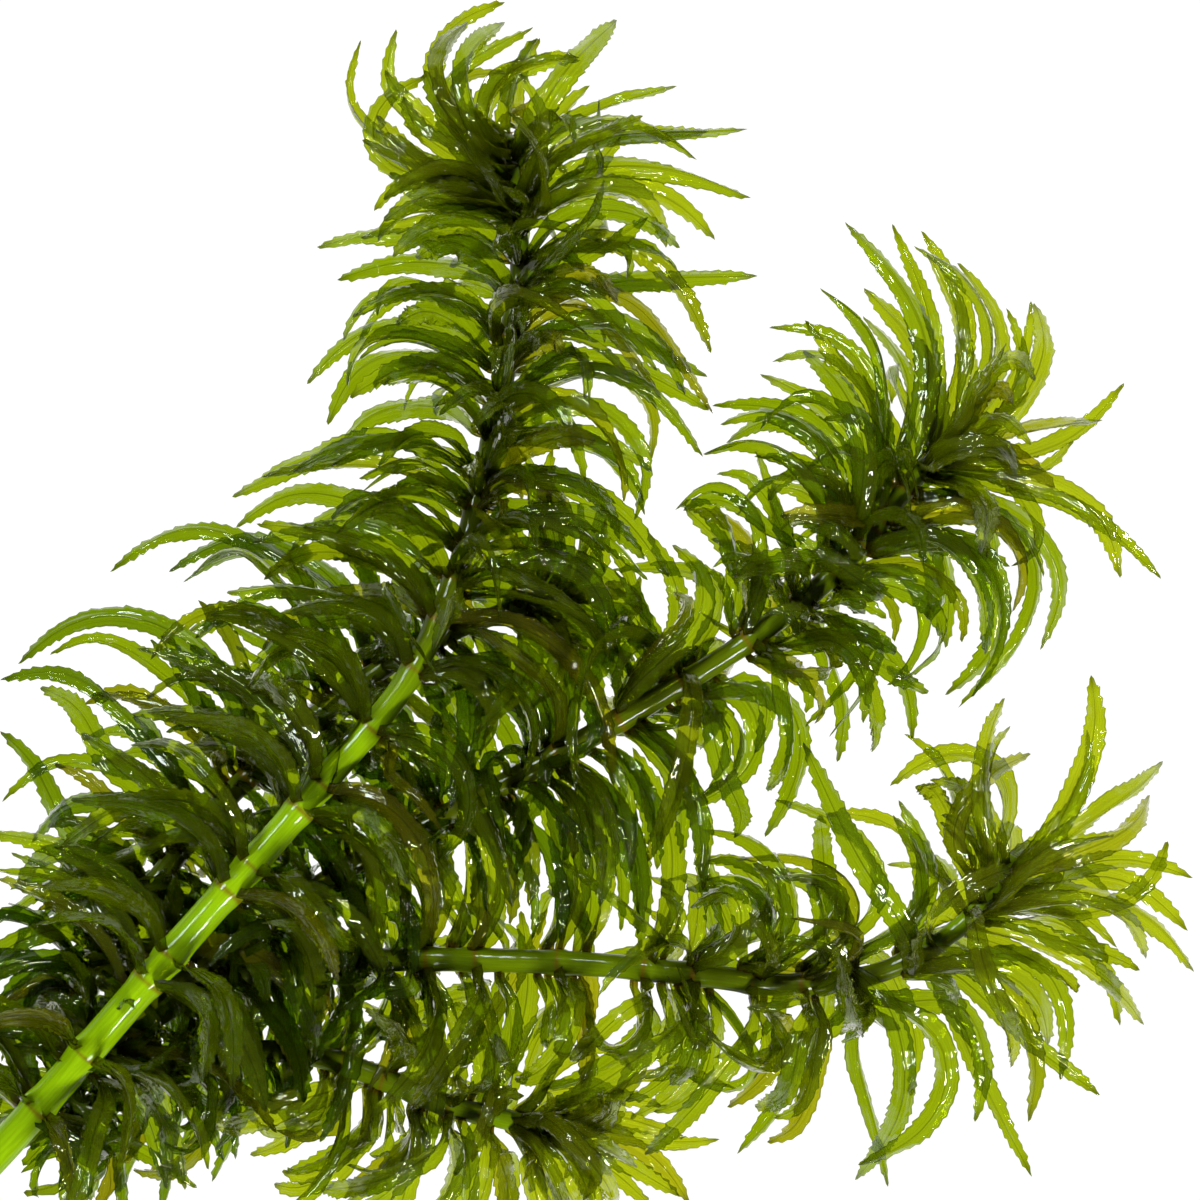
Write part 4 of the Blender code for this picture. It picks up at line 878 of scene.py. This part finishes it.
def allowed(outward, angle):
    """Whether a leaf that points this way from its stem keeps to an angle of MORE_LEAVES."""
    steepest = math.cos(math.radians(angle))
    if angle > 0:
        return outward[2] <= steepest
    return angle == 0 or outward[2] >= steepest


def best_leaf(seed, rng, blades, route, spots, smallest, placed, angle=0, may_stray=False):
    """Of several leaves like those given, one at each spot, the one that cuts the least."""
    best, least = None, math.inf
    for attempt, spot in enumerate(spots):
        source = rng.choice(blades)
        spot = min(max(spot, 0), len(route) - 1)
        candidate = source.moved(route, nearest_row(route, source.seat), spot,
                                 rng.uniform(-math.pi, math.pi), f"{seed} {attempt}",
                                 rng.uniform(smallest, 1.0))
        if not allowed(unit(candidate.seat - route[spot, :3]), angle):
            continue
        if not may_stray and strays(candidate, placed.outline):
            continue
        cuts = count_cuts(candidate, placed)
        if cuts < least:
            best, least = candidate, cuts
        if least == 0:
            break
    if best is None:
        return []
    placed.take(best)
    return [best]


class Placed:
    """The leaves that have their place, and where the first of them show from above."""

    def __init__(self, blades):
        self.leaves = []
        for blade in blades:
            self.take(blade)
        self.outline = np.concatenate([seen_from_above(blade.points) for blade in blades])

    def take(self, blade):
        self.leaves.append((blade.points.min(axis=0), blade.points.max(axis=0), blade.coarse()))


def count_cuts(blade, placed):
    """How badly a leaf cuts the others or leaves the plant's box."""
    low, high = blade.points.min(axis=0), blade.points.max(axis=0)
    if np.any(low < CAD_LOW) or np.any(high > CAD_HIGH):
        return OUTSIDE
    tree = blade.coarse()
    cuts = 0
    for other_low, other_high, other in placed.leaves:
        if np.all(other_low < high) and np.all(other_high > low):
            cuts += len(tree.overlap(other))
    return cuts


def node_rows(route, blades):
    """Rows of a stem's route at which leaves sit."""
    return sorted({nearest_row(route, blade.seat) for blade in blades})


def stem_marks(route, nodes):
    """Nearness to a node along a stem, and its radius swollen there."""
    along = chord_lengths(route)
    spots = along[nodes]
    mark = np.exp(-((along[:, None] - spots[None, :]) / NODE_RING)**2).max(axis=1)
    wide = np.exp(-((along[:, None] - spots[None, :]) / NODE_LENGTH)**2).max(axis=1)
    return mark, route[:, 3] * (1 + NODE_SWELL * wide)


def stem_tones(mark, olive):
    """Tones of a stem's points: nearness to a node, how olive brown, and how much darker."""
    return np.stack((mark, olive, np.full(len(mark), STEM_DARK), np.ones(len(mark))), axis=1)


def stem_piece(name, route, nodes, finish):
    """One stem, swollen at its nodes, as far as its growing tip."""
    end = last_inside(route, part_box(f"stem_{name}"))
    rows = route[:end + 1]
    mark, radius = stem_marks(rows, [row for row in nodes if row <= end] or [end])
    rng = random.Random("stem " + name)
    ridges = np.array([1 + STEM_RIDGES * rng.uniform(-1, 1) for _ in range(STEM_SIDES)])
    *skin, mark = tube_skin(rows, radius[:, None] * ridges[None, :], STEM_SIDES, mark)
    at_foot, at_end, from_share, to_share = OLIVE[name]
    along = skin[3][:, 1] / skin[3][:, 1].max()
    olive = at_foot + (at_end - at_foot) * ease(from_share, to_share, along)
    piece = build_mesh(f"stem_{name}_skin", [(*skin, stem_tones(mark, olive), 0)], [finish])
    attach(piece, "root")
    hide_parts(f"stem_{name}")


def last_inside(route, box):
    """The last row of a route inside the box of the frame's stem, where the growing tip begins."""
    low, high = np.array(box[0]) - BOX_SLACK, np.array(box[1]) + BOX_SLACK
    inside = np.all((route[:, :3] >= low) & (route[:, :3] <= high), axis=1)
    return int(np.flatnonzero(inside)[-1])


def whorl_piece(node, shoot, route, blades, finish):
    """The leaves of one whorl."""
    parts = [(*blade_skin(blade), leaf_tone(blade, shoot, "whorl"), 0) for blade in blades]
    piece = build_mesh(f"{node}_leaves", parts, [finish])
    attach(piece, "root")
    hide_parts(node)


def lower_piece(shoot, blades, finish):
    """The leaves on the lower part of a shoot."""
    parts = [(*blade_skin(blade), leaf_tone(blade, shoot, "lower"), 0) for blade in blades]
    piece = build_mesh(f"lower_leaves_{shoot}", parts, [finish])
    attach(piece, "root")


def tip_piece(shoot, route, blades, finishes):
    """A growing tip: the end of the stem and the young leaves that crowd round it."""
    parts = [(*blade_skin(blade), leaf_tone(blade, shoot, "tip"), 0) for blade in blades]
    start = min(node_rows(route, blades)) - TIP_ROWS
    rows = route[start:]
    mark, radius = stem_marks(rows, [row - start for row in node_rows(route, blades)])
    radii = np.repeat(radius[:, None], STEM_SIDES, axis=1)
    *skin, mark = tube_skin(rows, radii, STEM_SIDES, TIP_RINGS * mark)
    parts.append((*skin, stem_tones(mark, np.full(len(mark), TIP_OLIVE)), 1))
    piece = build_mesh(f"tip_{shoot}_leaves", parts, finishes)
    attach(piece, "root")
    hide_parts(f"tip_{shoot}")


def build_plant():
    """Finer pieces in place of all of the frame's."""
    leaf, stem = leaf_finish(), stem_finish()
    routes = {name: stem_route(name) for name in STEMS}
    whorls = {node: leaves_of(node, routes[shoot_of(node)])
              for node in sorted(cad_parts) if not node.startswith("stem")}
    for node, leaves in DRAWN_LEAVES.items():
        whorls[node] += [drawn_leaf(marks, size, routes[shoot_of(node)], f"{node} drawn {number}")
                         for number, (marks, size) in enumerate(leaves)]
    placed = Placed([blade for blades in whorls.values() for blade in blades])
    stem_nodes = {name: node_rows(route, [blade for node, blades in whorls.items()
                                          if node.startswith(f"whorl_{name}") for blade in blades])
                  for name, route in routes.items()}
    for node, blades in whorls.items():
        blades += more_leaves(node, list(blades), routes[shoot_of(node)], placed)
    for shoot in LOWER_LEAVES:
        first = [blade for number in (1, 2, 3) for blade in whorls[f"whorl_{shoot}_{number:02d}"]]
        lower_piece(shoot, lower_leaves(shoot, first, routes[shoot], placed), leaf)
    for node, blades in whorls.items():
        shoot = shoot_of(node)
        if node.startswith("tip"):
            tip_piece(shoot, routes[shoot], blades, [leaf, stem])
        else:
            whorl_piece(node, shoot, routes[shoot], blades, leaf)
    for name, route in routes.items():
        stem_piece(name, route, stem_nodes[name], stem)


def table():
    """A wide pale table under the plant, lit from below where the plant lies."""
    corners = [(x, y, -TABLE_DEPTH) for x, y in ((-1, -1), (1, -1), (1, 1), (-1, 1))]
    corners = [(x * TABLE_REACH, y * TABLE_REACH, z) for x, y, z in corners]
    mesh = bpy.data.meshes.new("table")
    mesh.from_pydata(corners, [], [(0, 1, 2, 3)])
    r = Recipe("light_table")
    glow = r.add("ShaderNodeBsdfPrincipled")
    glow.inputs["Base Color"].default_value = (0.0, 0.0, 0.0, 1.0)
    glow.inputs["Specular IOR Level"].default_value = 0.0
    glow.inputs["Emission Color"].default_value = (1.0, 1.0, 1.0, 1.0)
    away = r.tree.nodes.new("ShaderNodeVectorMath")
    away.operation = "LENGTH"
    r.feed(away.inputs[0], r.add("ShaderNodeTexCoord").outputs["Object"])
    strength = r.ramp(away.outputs["Value"], GLOW_FROM, GLOW_TO, GLOW_NEAR, GLOW_FAR)
    r.feed(glow.inputs["Emission Strength"], strength)
    mesh.materials.append(r.surface(glow))
    r.material.cycles.emission_sampling = "NONE"
    floor = bpy.data.objects.new("table", mesh)
    bpy.context.scene.collection.objects.link(floor)


def soft_light(name, spot, sides, power, colour):
    """An area light over the plant, facing it."""
    lamp = bpy.data.lights.new(name, "AREA")
    lamp.shape = "RECTANGLE"
    lamp.size, lamp.size_y = sides
    lamp.energy = power
    lamp.color = colour
    light = bpy.data.objects.new(name, lamp)
    light.location = spot
    light.rotation_euler = light.location.to_track_quat("Z", "Y").to_euler()
    light.visible_camera = False
    bpy.context.scene.collection.objects.link(light)


def camera():
    """The eye straight over the middle of the picture."""
    lens = bpy.data.cameras.new("camera")
    lens.sensor_width = SENSOR
    lens.lens = SENSOR * EYE / (PICTURE * PIXEL)
    eye = bpy.data.objects.new("camera", lens)
    eye.location = (-ORIGIN[0], -ORIGIN[1], EYE)
    bpy.context.scene.collection.objects.link(eye)
    bpy.context.scene.camera = eye


def surroundings():
    """Even pale light from all round, and three soft lamps that give the leaves their glints."""
    scene = bpy.context.scene
    world = bpy.data.worlds.new("pale")
    world.use_nodes = True
    background = world.node_tree.nodes["Background"]
    background.inputs["Color"].default_value = SKY
    background.inputs["Strength"].default_value = SKY_STRENGTH
    world.cycles.sampling_method = "NONE"
    scene.world = world
    scene.view_settings.view_transform = "Standard"
    scene.cycles.caustics_reflective = False
    scene.cycles.caustics_refractive = False
    scene.cycles.max_bounces = 6
    scene.cycles.transmission_bounces = 6
    scene.cycles.diffuse_bounces = 1
    scene.cycles.glossy_bounces = 1
    scene.cycles.light_sampling_threshold = 0.05
    scene.cycles.use_light_tree = False
    scene.cycles.debug_use_spatial_splits = True
    for name, settings in LAMPS.items():
        soft_light(name, *settings)


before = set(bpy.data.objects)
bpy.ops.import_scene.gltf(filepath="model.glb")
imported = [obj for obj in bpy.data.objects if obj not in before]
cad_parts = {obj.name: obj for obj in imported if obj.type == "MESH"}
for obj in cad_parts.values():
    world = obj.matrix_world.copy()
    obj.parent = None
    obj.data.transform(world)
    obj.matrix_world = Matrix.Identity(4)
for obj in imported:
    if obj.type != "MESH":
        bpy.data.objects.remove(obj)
CAD_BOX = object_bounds()
CAD_LOW, CAD_HIGH = np.array(CAD_BOX[0]), np.array(CAD_BOX[1])
camera()
surroundings()
table()
build_plant()
